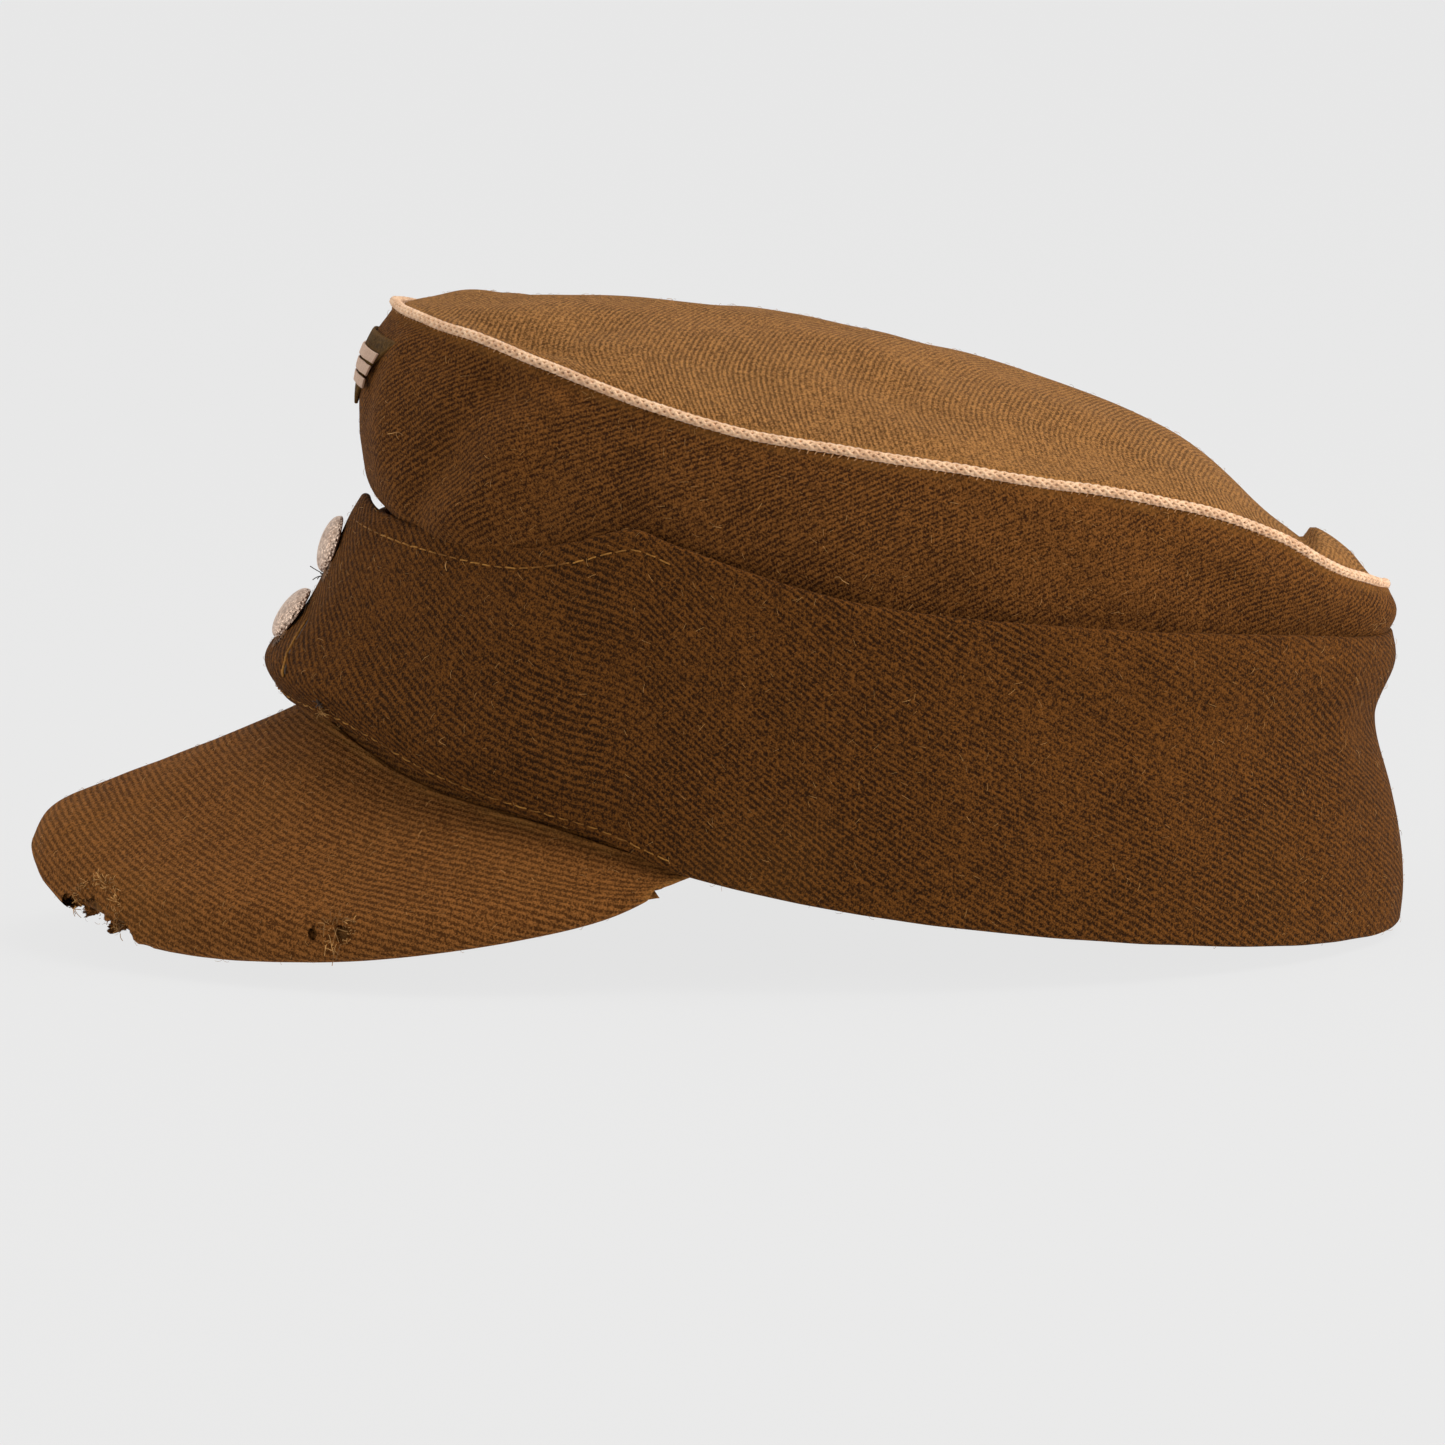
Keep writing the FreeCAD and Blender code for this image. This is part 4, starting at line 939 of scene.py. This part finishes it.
# Flap: a long strip of coarse wool twill, turned up round the cap and folded over along its lower
# edge. It is sewn on at the back and sides, and its two front tabs are loose and button together.
FLAP_TOP_HEIGHT = [(-71, 90.7), (-52, 87.8), (-38, 86.5), (-26, 88.6), (-15, 91.6), (-8, 89.2),
                   (17, 80.8), (37, 76.3), (76, 71.5), (117, 66.9), (139.6, 62.4)]
FLAP_LOW_HEIGHT = [(-88, 49.6), (-72, 46.0), (-57, 39.2), (-42, 33.8), (-23, 28.9), (-5, 22.0),
                   (36, 13.4), (84, 6.6), (121, 1.9), (141.5, 0.0)]
FLAP_RINGS = [
    (0.0, -71.0, 139.6, 80.8),
    (0.12, -74.2, 140.6, 81.4),
    (0.30, -77.8, 136.4, 81.8),
    (0.55, -83.4, 139.6, 82.0),
    (0.80, -92.0, 142.2, 82.0),
    (1.0, -88.2, 141.6, 81.4),
]
OVERLAP = 6.4  # degrees that each tab passes the front centre


def flap_surface(angle, share):
    """The temple's angle is stretched at each height, so that the tabs begin on an upright line."""
    middle, half_length, _ = ring_at(FLAP_RINGS, share)
    here = np.degrees(np.arccos((middle + 5.0) / half_length))
    size = np.abs(angle)
    behind = 180 - (180 - size) * (180 - here) / (180 - TEMPLE)
    turned = np.sign(angle) * np.where(size <= TEMPLE, size * here / TEMPLE, behind)
    return wall(FLAP_RINGS, FLAP_TOP_HEIGHT, FLAP_LOW_HEIGHT, turned, share)


def dive(angle):
    """The right tab runs level with the flap's side at the temple and goes 3.1 mm behind the left one."""
    return 3.1 * smooth(np.where(angle < 0, 46 - np.abs(angle), 46) / 26)


wool_flap = wool(
    "wool_flap", paint(42, 22, 5), paint(112, 68, 25),
    pitch=1.35, slope=27.0, relief=0.30, fuzz=0.38, worn=paint(138, 92, 42),
)
wool_facing = wool(
    "wool_facing", paint(46, 26, 8), paint(98, 62, 26),
    pitch=0.9, slope=40.0, relief=0.14, fuzz=0.3, worn=paint(120, 82, 38),
)
cuts = []
for height, y, lean in ((80.3, -76.85, 20.0), (65.8, -85.38, 37.0)):
    facing = np.array([0.0, -math.cos(math.radians(lean)), math.sin(math.radians(lean))])
    right = np.array([1.0, 0.0, 0.0])
    down = -np.cross(facing, right)
    slit_way = right * math.cos(math.radians(30)) + down * math.sin(math.radians(30))
    slit_side = np.cross(facing, slit_way)
    cuts.append((np.array([0.0, y, height]), facing, slit_way, slit_side))


def rounded_slit(centre, facing, way, sideways, low, high, radius, count):
    """Points round a slit with round ends, in the plane of a button."""
    turn = np.linspace(0, math.pi, count)
    ring = [centre + way * (high + math.sin(t) * radius) - sideways * (math.cos(t) * radius) for t in turn]
    ring += [centre + way * (low - math.sin(t) * radius) + sideways * (math.cos(t) * radius) for t in turn]
    return np.array(ring)


def relief(points, sign, seed):
    """Soft folds and unevenness across a flap."""
    mirrored = points * (sign, 1, 1)
    fold = dents(
        mirrored,
        ((74, 92, 60), (77, 86, 12), 7.0, 0.7),
        ((72, 104, 60), (73, 102, 14), 6.0, -0.6),
        ((34, -78, 74), (56, -60, 52), 9.0, -1.0),
        ((62, -46, 78), (72, -34, 44), 8.0, 0.8),
        ((80, 10, 70), (82, 14, 26), 9.0, -0.7),
        ((81, 44, 60), (82, 52, 20), 11.0, 0.6),
    )
    fold += ripples(points, seed, 36.0, 0.42) + ripples(points, seed + 5, 12.0, 0.12)
    return fold


def calmed(angle):
    """The folds die out at the lap of the tabs and at the back seam."""
    return smooth((np.abs(angle) - 8) / 12) * smooth((180 - np.abs(angle)) / 5)


flaps = []
for word, sign, seed in (("left", 1, 71), ("right", -1, 72)):
    tab = word + "_tab"
    ends = {"start": (0.08 * sign, 0.010, 0.05), "end": (0.08 * sign, -0.015, 0.05)}
    angles = edged(-OVERLAP, 180.08, 300, 0.4) * sign
    share = np.linspace(0.028, 0.968, 100)
    angle, share = grid(angles, share)
    points = flap_surface(angle, share)
    normals = outward(points, from_axis(points))
    fold = relief(points, sign, seed)
    points = points + normals * (fold * calmed(angle))[..., None]
    if sign < 0:
        points = points - normals * dive(angle)[..., None]
        points[..., 2] -= 0.5 * dive(angle) * (1 - share) ** 2
    else:
        points[..., 2] += 1.2 * smooth((16 - np.abs(angle)) / 14) * (1 - share) ** 3
    points[..., 2] -= 4.5 * smooth((3 - angle * sign) / 9) * (1 - share) ** 3
    # the back seam turns the cloth in
    points = points - normals * (0.7 * np.exp(-(((180 - np.abs(angle)) / 0.7) ** 2)))[..., None]
    shell = rolled(points, from_axis(points), 1.3, 8)
    shell = rolled(shell[:, ::-1], from_axis(shell), 1.1, 8)[:, ::-1]
    flap = cloth("flap_" + word + "_cloth", shell, from_axis(shell), 0.0, 0.95, wool_flap, None, start=-12.0)
    if sign > 0:
        for centre, facing, way, sideways in cuts:
            ring = rounded_slit(centre, facing, way, sideways, -0.8, 10.4, 0.7, 9)
            block = np.concatenate([ring - facing * 2.9, ring + facing * 4]) * MM
            n = len(ring)
            faces = [list(range(n))[::-1], list(range(n, 2 * n))]
            faces += [[i, (i + 1) % n, n + (i + 1) % n, n + i] for i in range(n)]
            data = bpy.data.meshes.new("slit_cutter")
            data.from_pydata(block.tolist(), [], faces)
            cutter = bpy.data.objects.new("slit_cutter", data)
            bpy.context.scene.collection.objects.link(cutter)
            checked = bmesh.new()
            checked.from_mesh(data)
            bmesh.ops.recalc_face_normals(checked, faces=checked.faces)
            checked.to_mesh(data)
            checked.free()
            cut = flap.modifiers.new("slit", "BOOLEAN")
            cut.operation = "DIFFERENCE"
            cut.solver = "EXACT"
            cut.object = cutter
            depsgraph = bpy.context.evaluated_depsgraph_get()
            opened = bpy.data.meshes.new_from_object(flap.evaluated_get(depsgraph))
            flap.modifiers.clear()
            flap.data = opened
            bpy.data.objects.remove(cutter)
    flaps.append(flap)
    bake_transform(flap)
    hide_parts(word + "_flap_side", word + "_flap_tab")
    "crown_side_%s_cloth" % word

    angle, share = grid(edged(-OVERLAP + 0.5, 180.0, 160, 0.4) * sign, edged(0.10, 0.88, 40, 0.012))
    points = flap_surface(angle, share)
    if sign < 0:
        points = points - outward(points, from_axis(points)) * dive(angle)[..., None]
    facing_cloth = cloth("flap_" + word + "_facing", points, from_axis(points), 1.75, 2.25, wool_facing, None)
    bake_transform(facing_cloth)
    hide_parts(word + "_flap_side_facing", word + "_flap_tab_facing")

    def follow(p, n, a, s, sign=sign, seed=seed):
        """The same folds as the flap's cloth has, for its stitches."""
        return n * (relief(p, sign, seed) * calmed(a) - (dive(a) if sign < 0 else 0))[..., None]

    sewn = np.linspace(-5.4, 71, 320) * sign
    for part, gap in (("top", 4.8), ("low", 2.9)):
        line, lift = line_on(flap_surface, sewn, gap, from_low=part == "low", depth=-0.05, shift=follow)
        row = sew("flap_%s_stitches_%s" % (word, part), line, lift, None, pitch=3.1, length=2.2,
                  thread=0.15, rise=0.14, loose=0.10, seed=seed + len(part))
        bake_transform(row)

# Buttons: a pressed and pebbled white metal shell over a flat back. Dark thread holds each to the right tab
# through a wire loop; the loop is hidden here and not drawn.
pebbled, graph, shader = material("pebbled", Metallic=1.0, Anisotropic=0.0)
place = graph.add("ShaderNodeTexCoord", out=3)
cells = graph.add("ShaderNodeTexVoronoi", {"feature": "SMOOTH_F1"},
                  {"Vector": place, "Scale": 1500.0, "Smoothness": 0.6})
tarnish = graph.noise(place, 420.0, 4.0, 0.65)
colour = graph.mix(tarnish.between(0.45, 0.75) * 0.7, paint(222, 196, 176), paint(140, 106, 84))
colour = graph.mix(cells.between(0.3, 0.8) * 0.4, colour, paint(112, 84, 66))
pebble_height = (1.0 - cells) * 0.45
finish_material(graph, shader, colour, 0.30 + tarnish * 0.3, pebble_height, 0.001)
plain_metal, graph, shader = material("plain_metal", Metallic=1.0)
place = graph.add("ShaderNodeTexCoord", out=3)
tarnish = graph.noise(place, 500.0, 4.0, 0.6)
colour = graph.mix(tarnish.between(0.35, 0.7), paint(186, 174, 166), paint(104, 86, 74))
finish_material(graph, shader, colour, 0.35 + tarnish * 0.3, tarnish * 0.05, 0.001)
thread_dark, graph, shader = material("thread_dark", Sheen_Weight=0.2)
place = graph.add("ShaderNodeTexCoord", out=3)
twist = graph.noise(place, 1800.0, 2.0)
colour = graph.mix(twist, paint(34, 20, 8), paint(74, 48, 22))
finish_material(graph, shader, colour, 0.8 + twist * 0.15, twist * 0.15, 0.001)


def turned(name, outline, place, paint_on, body, count=96):
    """A round piece turned from an outline of radius and height, in millimetres."""
    outline = np.array(outline, float)
    turn = np.linspace(0, math.tau, count, endpoint=False)
    ring = np.stack([np.cos(turn), np.sin(turn)], -1)
    heights = np.broadcast_to(outline[:, None, 1:], (len(outline), count, 1))
    points = np.concatenate([outline[:, None, :1] * ring, heights], -1)
    index = np.arange(len(outline) * count).reshape(len(outline), count)
    after = np.roll(index, -1, axis=1)
    faces = np.stack([index[:-1], after[:-1], after[1:], index[1:]], -1).reshape(-1, 4).tolist()
    faces += [index[0][::-1].tolist(), index[-1].tolist()]
    made = add_object(name, points.reshape(-1, 3) * MM, faces, paint_on, None)
    made.data.transform(place)
    checked = bmesh.new()
    checked.from_mesh(made.data)
    bmesh.ops.recalc_face_normals(checked, faces=checked.faces)
    checked.to_mesh(made.data)
    checked.free()
    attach(made, body)
    return made


# the shell is a shallow dome with a rolled rim; it is drawn down on the cloth and leans to the left
dome = [(6.0 * math.sin(t), 0.55 + 2.3 * math.cos(t)) for t in np.linspace(0.02, 1.52, 26)]
shell = dome + [(6.1, 0.42), (6.08, 0.2), (5.9, 0.06), (5.5, 0.0), (0.05, 0.0)]
plate = [(0.05, -0.32), (2.0, -0.34), (4.2, -0.24), (5.3, -0.06), (5.3, 0.0), (0.05, 0.0)]
for word, height, y, lean in (("upper", 80.3, -76.85, 20.0), ("lower", 65.8, -85.38, 37.0)):
    facing = Vector((0, -math.cos(math.radians(lean)), math.sin(math.radians(lean))))
    facing = Matrix.Rotation(math.radians(9.0), 3, "Z") @ facing
    right = Vector((facing.y, -facing.x, 0)).normalized() * -1
    axes = Matrix((right, facing.cross(right), facing)).transposed().to_4x4()
    seat = Vector((3.6, y + 0.15, height)) * MM + facing * (0.75 * MM)
    place = Matrix.Translation(seat) @ axes
    front = turned(word + "_button_shell", shell, place, pebbled, word + "_button")
    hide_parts(word + "_button_dome")
    rear = turned(word + "_button_plate", plate, place, plain_metal, word + "_button", 64)
    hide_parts(word + "_button_back", word + "_button_loop")
    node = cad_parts[word + "_button_thread"]
    node.data.materials.clear()
    node.data.materials.append(thread_dark)

# Buttonholes: two slanting slits in the left tab, worked round with close stitches of brown
# thread. A short bar-tacked fold runs on from the lower one.
near_angle, near_share = grid(np.linspace(-9, 32, 420), np.linspace(0.05, 0.97, 320))
face = flap_surface(near_angle, near_share)
face_normals = outward(face, from_axis(face)).reshape(-1, 3)
face = face.reshape(-1, 3)


def onto_flap(targets, direction):
    """Where lines through the targets along a direction meet the left tab, and its normals there."""
    found = []
    for target in targets:
        offset = face - target
        away = offset - (offset @ direction)[:, None] * direction
        found.append(np.argmin((away ** 2).sum(-1)))
    return face[found], face_normals[found]


buttonhole_thread, graph, shader = material("buttonhole_thread", Sheen_Weight=0.2, Specular_IOR_Level=0.3)
place = graph.add("ShaderNodeTexCoord", out=3)
tone = graph.noise(place, 700.0, 3.0, 0.6)
colour = graph.mix(tone.between(0.3, 0.7), paint(66, 40, 16), paint(134, 92, 50))
finish_material(graph, shader, colour, 0.75 + tone * 0.2, tone * 0.1, 0.001)
for word, (centre, facing, way, sideways) in zip(("upper", "lower"), cuts):
    ring = rounded_slit(centre, facing, way, sideways, -0.8, 10.4, 1.35, 14)
    ring = np.concatenate([ring, ring[:1]])
    run = np.concatenate([[0], np.cumsum(np.linalg.norm(np.diff(ring, axis=0), axis=1))])
    even = np.linspace(0, run[-1], 240)
    ring = np.stack([np.interp(even, run, ring[:, k]) for k in range(3)], -1)
    points, normals = onto_flap(ring, facing)
    points = (points + np.roll(points, 1, 0) + np.roll(points, -1, 0)) / 3
    hole = sew(word + "_buttonhole_stitches", points + normals * 0.1, normals, "left_tab", buttonhole_thread,
               0.5, 1.5, 0.2, 0.14, slant=math.pi / 2, loose=0.12, seed=91)
    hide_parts(word + "_buttonhole")

# Badge: a plain dark wedge of felt laid on the crown's front, with three light woven bars across
# it.
felt, graph, shader = material("felt", Sheen_Weight=0.03, Sheen_Roughness=0.5, Specular_IOR_Level=0.04)
place = graph.add("ShaderNodeTexCoord", out=3)
nap = graph.noise(place, 1300.0, 3.0, 0.7)
cloud = graph.noise(place, 140.0)
edge = graph.add("ShaderNodeAttribute", {"attribute_name": "edge"}, out=2)
colour = graph.mix(nap.between(0.25, 0.8), paint(44, 30, 10), paint(98, 70, 32))
colour = graph.mix((1.0 - edge.between(0.0003, 0.0016)) * 0.45, colour, paint(104, 72, 32))
finish_material(graph, shader, colour, 0.9 + cloud * 0.08, nap * 0.4, 0.001)
woven, graph, shader = material("woven", Sheen_Weight=0.2, Specular_IOR_Level=0.35)
chart = graph.add("ShaderNodeUVMap", {"uv_map": "cloth"})
u = graph.add("ShaderNodeSeparateXYZ", {}, {0: chart}) * 1000.0
place = graph.add("ShaderNodeTexCoord", out=3)
grain = graph.noise(place, 1500.0, 2.0)
cords = (u / 0.42 + grain * 0.4).wave()
colour = graph.mix(cords * 0.6 + grain * 0.4, paint(150, 104, 78), paint(250, 214, 184))
finish_material(graph, shader, colour, 0.7 + grain * 0.2, cords * 0.2, 0.001)


def wedge(low_share, high_share, half_low, half_high, count_across, count_down):
    """A patch of the crown's front whose half width changes evenly with its height."""
    rows = edged(low_share, high_share, count_down, 0.004)
    across_share, share = grid(edged(-1, 1, count_across, 0.03), rows)
    way = (share - low_share) / (high_share - low_share)
    x = across_share * (half_high + (half_low - half_high) * way)
    width = ring_at(CROWN_RINGS, share)[2]
    return crown_surface(np.degrees(np.arcsin(x / width)), share)


points = wedge(0.065, 0.25, 4.0, 25.0, 90, 40)
normals = outward(points, from_axis(points))
points = points + normals * (ripples(points, 81, 9.0, 0.16) + 0.15)[..., None]
badge = cloth("badge_felt", points, from_axis(points), -0.85, -0.1, felt, "cap")
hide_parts("badge_backing")
first_bar, bar_pitch, bar_depth = 0.105, 0.032, 0.026  # shares of the crown's height
for n in range(3):
    top_share = first_bar + n * bar_pitch
    half = 20.0 - n * 1.6
    points = wedge(top_share, top_share + bar_depth, half - 1.2, half, 60, 8)
    normals = outward(points, from_axis(points))
    points = points + normals * (ripples(points, 82 + n, 7.0, 0.08) + 0.12)[..., None]
    cloth("badge_bar_%d" % (n + 1), points, from_axis(points), -1.3, -0.82, woven, "cap")
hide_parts("badge_bars")

# Wear: the wool has shed fine fibres, and broken threads stand from the torn and rubbed places of
# the peak. The left tab has a bar-tacked fold and a moth-eaten spot.
fibre_paint, graph, shader = material("fibre_paint", Specular_IOR_Level=0.3)
place = graph.add("ShaderNodeTexCoord", out=3)
tone = graph.noise(place, 300.0, 2.0)
colour = graph.mix(tone.between(0.35, 0.65), paint(108, 72, 32), paint(200, 150, 86))
finish_material(graph, shader, colour, 0.6 + tone * 0.2, tone * 0.02, 0.001)

fuzz, graph, given = node_group(
    "fuzz", [("Paint", "NodeSocketMaterial"), ("Density", "NodeSocketFloat"), ("Length", "NodeSocketFloat"),
             ("Thread", "NodeSocketFloat"), ("Seed", "NodeSocketInt")])
spots = graph.add("GeometryNodeDistributePointsOnFaces", {},
                  {"Mesh": given["Geometry"], "Density": given["Density"], "Seed": given["Seed"]})
up = Value(graph, spots.socket.node.outputs["Normal"])
start = graph.add("ShaderNodeCombineXYZ", {}, {2: given["Thread"] * -4.0})
middle = graph.add("ShaderNodeCombineXYZ", {}, {0: given["Length"] * 0.5, 2: given["Length"] * 0.42})
finish = graph.add("ShaderNodeCombineXYZ", {}, {0: given["Length"], 2: given["Length"] * 0.16})
hair_line = graph.add("GeometryNodeCurveQuadraticBezier", {},
                      {"Resolution": 4, 1: start, 2: middle, 3: finish})
profile = graph.add("GeometryNodeCurvePrimitiveCircle", {}, {"Resolution": 3, "Radius": given["Thread"]})
one = graph.add("GeometryNodeCurveToMesh", {},
                {"Curve": hair_line, "Profile Curve": profile, "Fill Caps": True})
heading = graph.add("FunctionNodeRandomValue", {"data_type": "FLOAT_VECTOR"},
                    {0: (-1, -1, -1), 1: (1, 1, 1), "Seed": given["Seed"]})
upright = graph.add("FunctionNodeAxesToRotation", {"primary_axis": "Z", "secondary_axis": "X"},
                    {0: up, 1: heading})
size = graph.add("FunctionNodeRandomValue", {"data_type": "FLOAT"},
                 {2: 0.35, 3: 1.3, "Seed": given["Seed"] + 3.0}, 1)
row = graph.add("GeometryNodeInstanceOnPoints", {},
                {"Points": spots, "Instance": one, "Rotation": upright, "Scale": size})
end_group(fuzz, graph, row, given["Paint"])
hair_length, hair_thickness = 1.5 * MM, 0.028 * MM
# hairs to the square metre on each piece
haired = (
    (crown_top, "top", "cap", 42000.0),
    (crown_sides[0], "side_left", "cap", 45000.0),
    (crown_sides[1], "side_right", "cap", 25000.0),
    (cover, "peak", "cap", 45000.0),
    (flaps[0], "flap_left", "left_tab", 42000.0),
    (flaps[1], "flap_right", "right_tab", 25000.0),
)
for seed, (source, word, body, density) in enumerate(haired, 1):
    twin = bpy.data.objects.new("fuzz_source", source.data.copy())
    bpy.context.scene.collection.objects.link(twin)
    values = {"Paint": fibre_paint, "Density": density, "Length": hair_length,
              "Thread": hair_thickness, "Seed": seed}
    fibres = make_mesh("fuzz_" + word, twin, fuzz, values, "cap" if body == "cap" else None)
    if body != "cap":
        sign = 1 if body == "left_tab" else -1
        0.08 * sign
        0.08 * sign
        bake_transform(fibres)


def threads(name, lines, thickness, paint_on, body):
    """Loose threads along lines of points, in millimetres, as one mesh."""
    data = bpy.data.curves.new(name, "CURVE")
    data.dimensions = "3D"
    data.bevel_depth = thickness * MM
    data.bevel_resolution = 1
    data.use_fill_caps = True
    for line in lines:
        spline = data.splines.new("NURBS")
        spline.points.add(len(line) - 1)
        weighted = np.concatenate([np.array(line) * MM, np.ones((len(line), 1))], 1)
        spline.points.foreach_set("co", weighted.ravel())
        spline.order_u = 3
        spline.use_endpoint_u = True
        spline.resolution_u = 3
    source = bpy.data.objects.new(name + "_line", data)
    bpy.context.scene.collection.objects.link(source)
    depsgraph = bpy.context.evaluated_depsgraph_get()
    mesh = bpy.data.meshes.new_from_object(source.evaluated_get(depsgraph))
    bpy.data.objects.remove(source)
    mesh.materials.clear()
    mesh.materials.append(paint_on)
    mesh.shade_smooth()
    made = bpy.data.objects.new(name, mesh)
    bpy.context.scene.collection.objects.link(made)
    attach(made, body)
    return made


def frayed(points, normals, count, length, seed, pull=(0.0, 0.0, 0.0)):
    """Broken threads that stand and curl from places picked among the points."""
    draw = np.random.default_rng(seed)
    lines = []
    for _ in range(count):
        i = draw.integers(len(points))
        heading = unit(draw.normal(size=3) + np.array(pull))
        lift = normals[i]
        reach = length * draw.uniform(0.4, 1.2)
        curl = unit(draw.normal(size=3)) * reach * 0.3
        start = points[i] - lift * 0.5 + draw.normal(size=3) * 0.15
        lines.append([start, start + lift * reach * 0.3 + heading * reach * 0.3,
                      start + lift * reach * 0.35 + heading * reach * 0.7 + curl,
                      start + lift * reach * 0.2 + heading * reach + curl * 1.5])
    return lines


near_angle, near_share = grid(np.linspace(5, 60, 240), np.linspace(0.4, 0.97, 160))
skin = peak_surface(near_angle, near_share)
skin_normals = outward(skin, skyward(skin)).reshape(-1, 3)
skin = skin.reshape(-1, 3)
tear_middle, tear_radius = (38, -126.0, 8.5), 8.0
hole_middle, hole_radius = (73, -74.5, 11.5), 3.0
tear_rim = np.abs(np.linalg.norm(skin - tear_middle, axis=1) - tear_radius) < 1.3
lines = frayed(skin[tear_rim], skin_normals[tear_rim], 190, 1.7, 7, (0.2, 0.6, 0.6))
hole = np.linalg.norm(skin - hole_middle, axis=1)
hole_rim = np.abs(hole - hole_radius) < 1.0
lines += frayed(skin[hole_rim], skin_normals[hole_rim], 80, 1.5, 8, (0.0, 0.2, 0.1))
threads("peak_fray", lines, 0.07, fibre_paint, "cap")
long_ends = skin[hole < hole_radius + 0.5]
draw = np.random.default_rng(12)
lines = []
for _ in range(7):
    start = long_ends[draw.integers(len(long_ends))]
    drop = draw.uniform(1.5, 4.2)
    aside = draw.uniform(-1.4, 1.4)
    lines.append([start - (0.3, 0, 0), start + (1.0, aside * 0.2, 0.1),
                  start + (1.5, aside * 0.6, -drop * 0.5),
                  start + (1.3, aside, -drop)])
threads("peak_long_threads", lines, 0.075, fibre_paint, "cap")

# the bar-tacked fold that runs on from the lower buttonhole, and a moth-eaten spot behind it
backward = np.array([0.0, 1.0, 0.0])
tack = np.array([[16.0, -90, 66.0], [18.6, -90, 63.4], [21.4, -90, 60.2], [24.0, -90, 57.0]])
points, normals = onto_flap(tack, backward)
run = np.linspace(0, 3, 60)
ridge = np.stack([np.interp(run, np.arange(4), points[:, k]) for k in range(3)], -1)
ridge_normals = unit(np.stack([np.interp(run, np.arange(4), normals[:, k]) for k in range(3)], -1))
beside = unit(np.cross(np.gradient(ridge, axis=0), ridge_normals))
sew("tack_ridge", ridge + ridge_normals * 0.25, ridge_normals, "left_tab", thread_gold,
    pitch=1.0, length=1.9, thread=0.26, rise=0.18, loose=0.2, seed=17)
for word, side, seed in (("front", 1, 18), ("rear", -1, 19)):
    sew("tack_edge_" + word, ridge + beside * side * 0.75, ridge_normals, "left_tab", thread_dark,
        pitch=0.9, length=1.5, thread=0.22, rise=0.1, loose=0.25, seed=seed)
spot, spot_normal = onto_flap(np.array([[36.0, -80, 52.0]]), backward)
threads("moth_dark", frayed(spot, spot_normal, 26, 1.5, 31), 0.12, thread_dark, "left_tab")
tuft = frayed(spot + (0.6, 0.4, -1.6), spot_normal, 24, 1.9, 32, (0.3, 0.2, -0.8))
threads("moth_tuft", tuft, 0.07, fibre_paint, "left_tab")
spot, spot_normal = onto_flap(np.array([[4.5, -80, 74.6]]), backward)
ends = frayed(spot, spot_normal, 18, 2.2, 33, (0.8, -0.2, -0.4))
threads("button_thread_ends", ends, 0.1, thread_dark, "left_tab")

# a few long fibres cling to the crown and the flap
lines = []
for x, y, z, way in ((77.5, 27, 80.5, (0.2, -0.9, 0.5)), (60, -24, 104, (0.4, 0.6, 0.7)),
                     (50, -64, 108, (0.2, 0.5, 0.1)), (70, -52, 83, (0.2, -0.2, 0.6))):
    start = np.array([x, y, z], float)
    way = np.array(way)
    lines.append([start, start + way * 1.6 + (0.8, 0, 0), start + way * 3.0 + (1.2, 0.8, 0.4),
                  start + way * 4.2 + (0.6, 1.0, -0.6)])
threads("loose_fibres", lines, 0.07, fibre_paint, "cap")
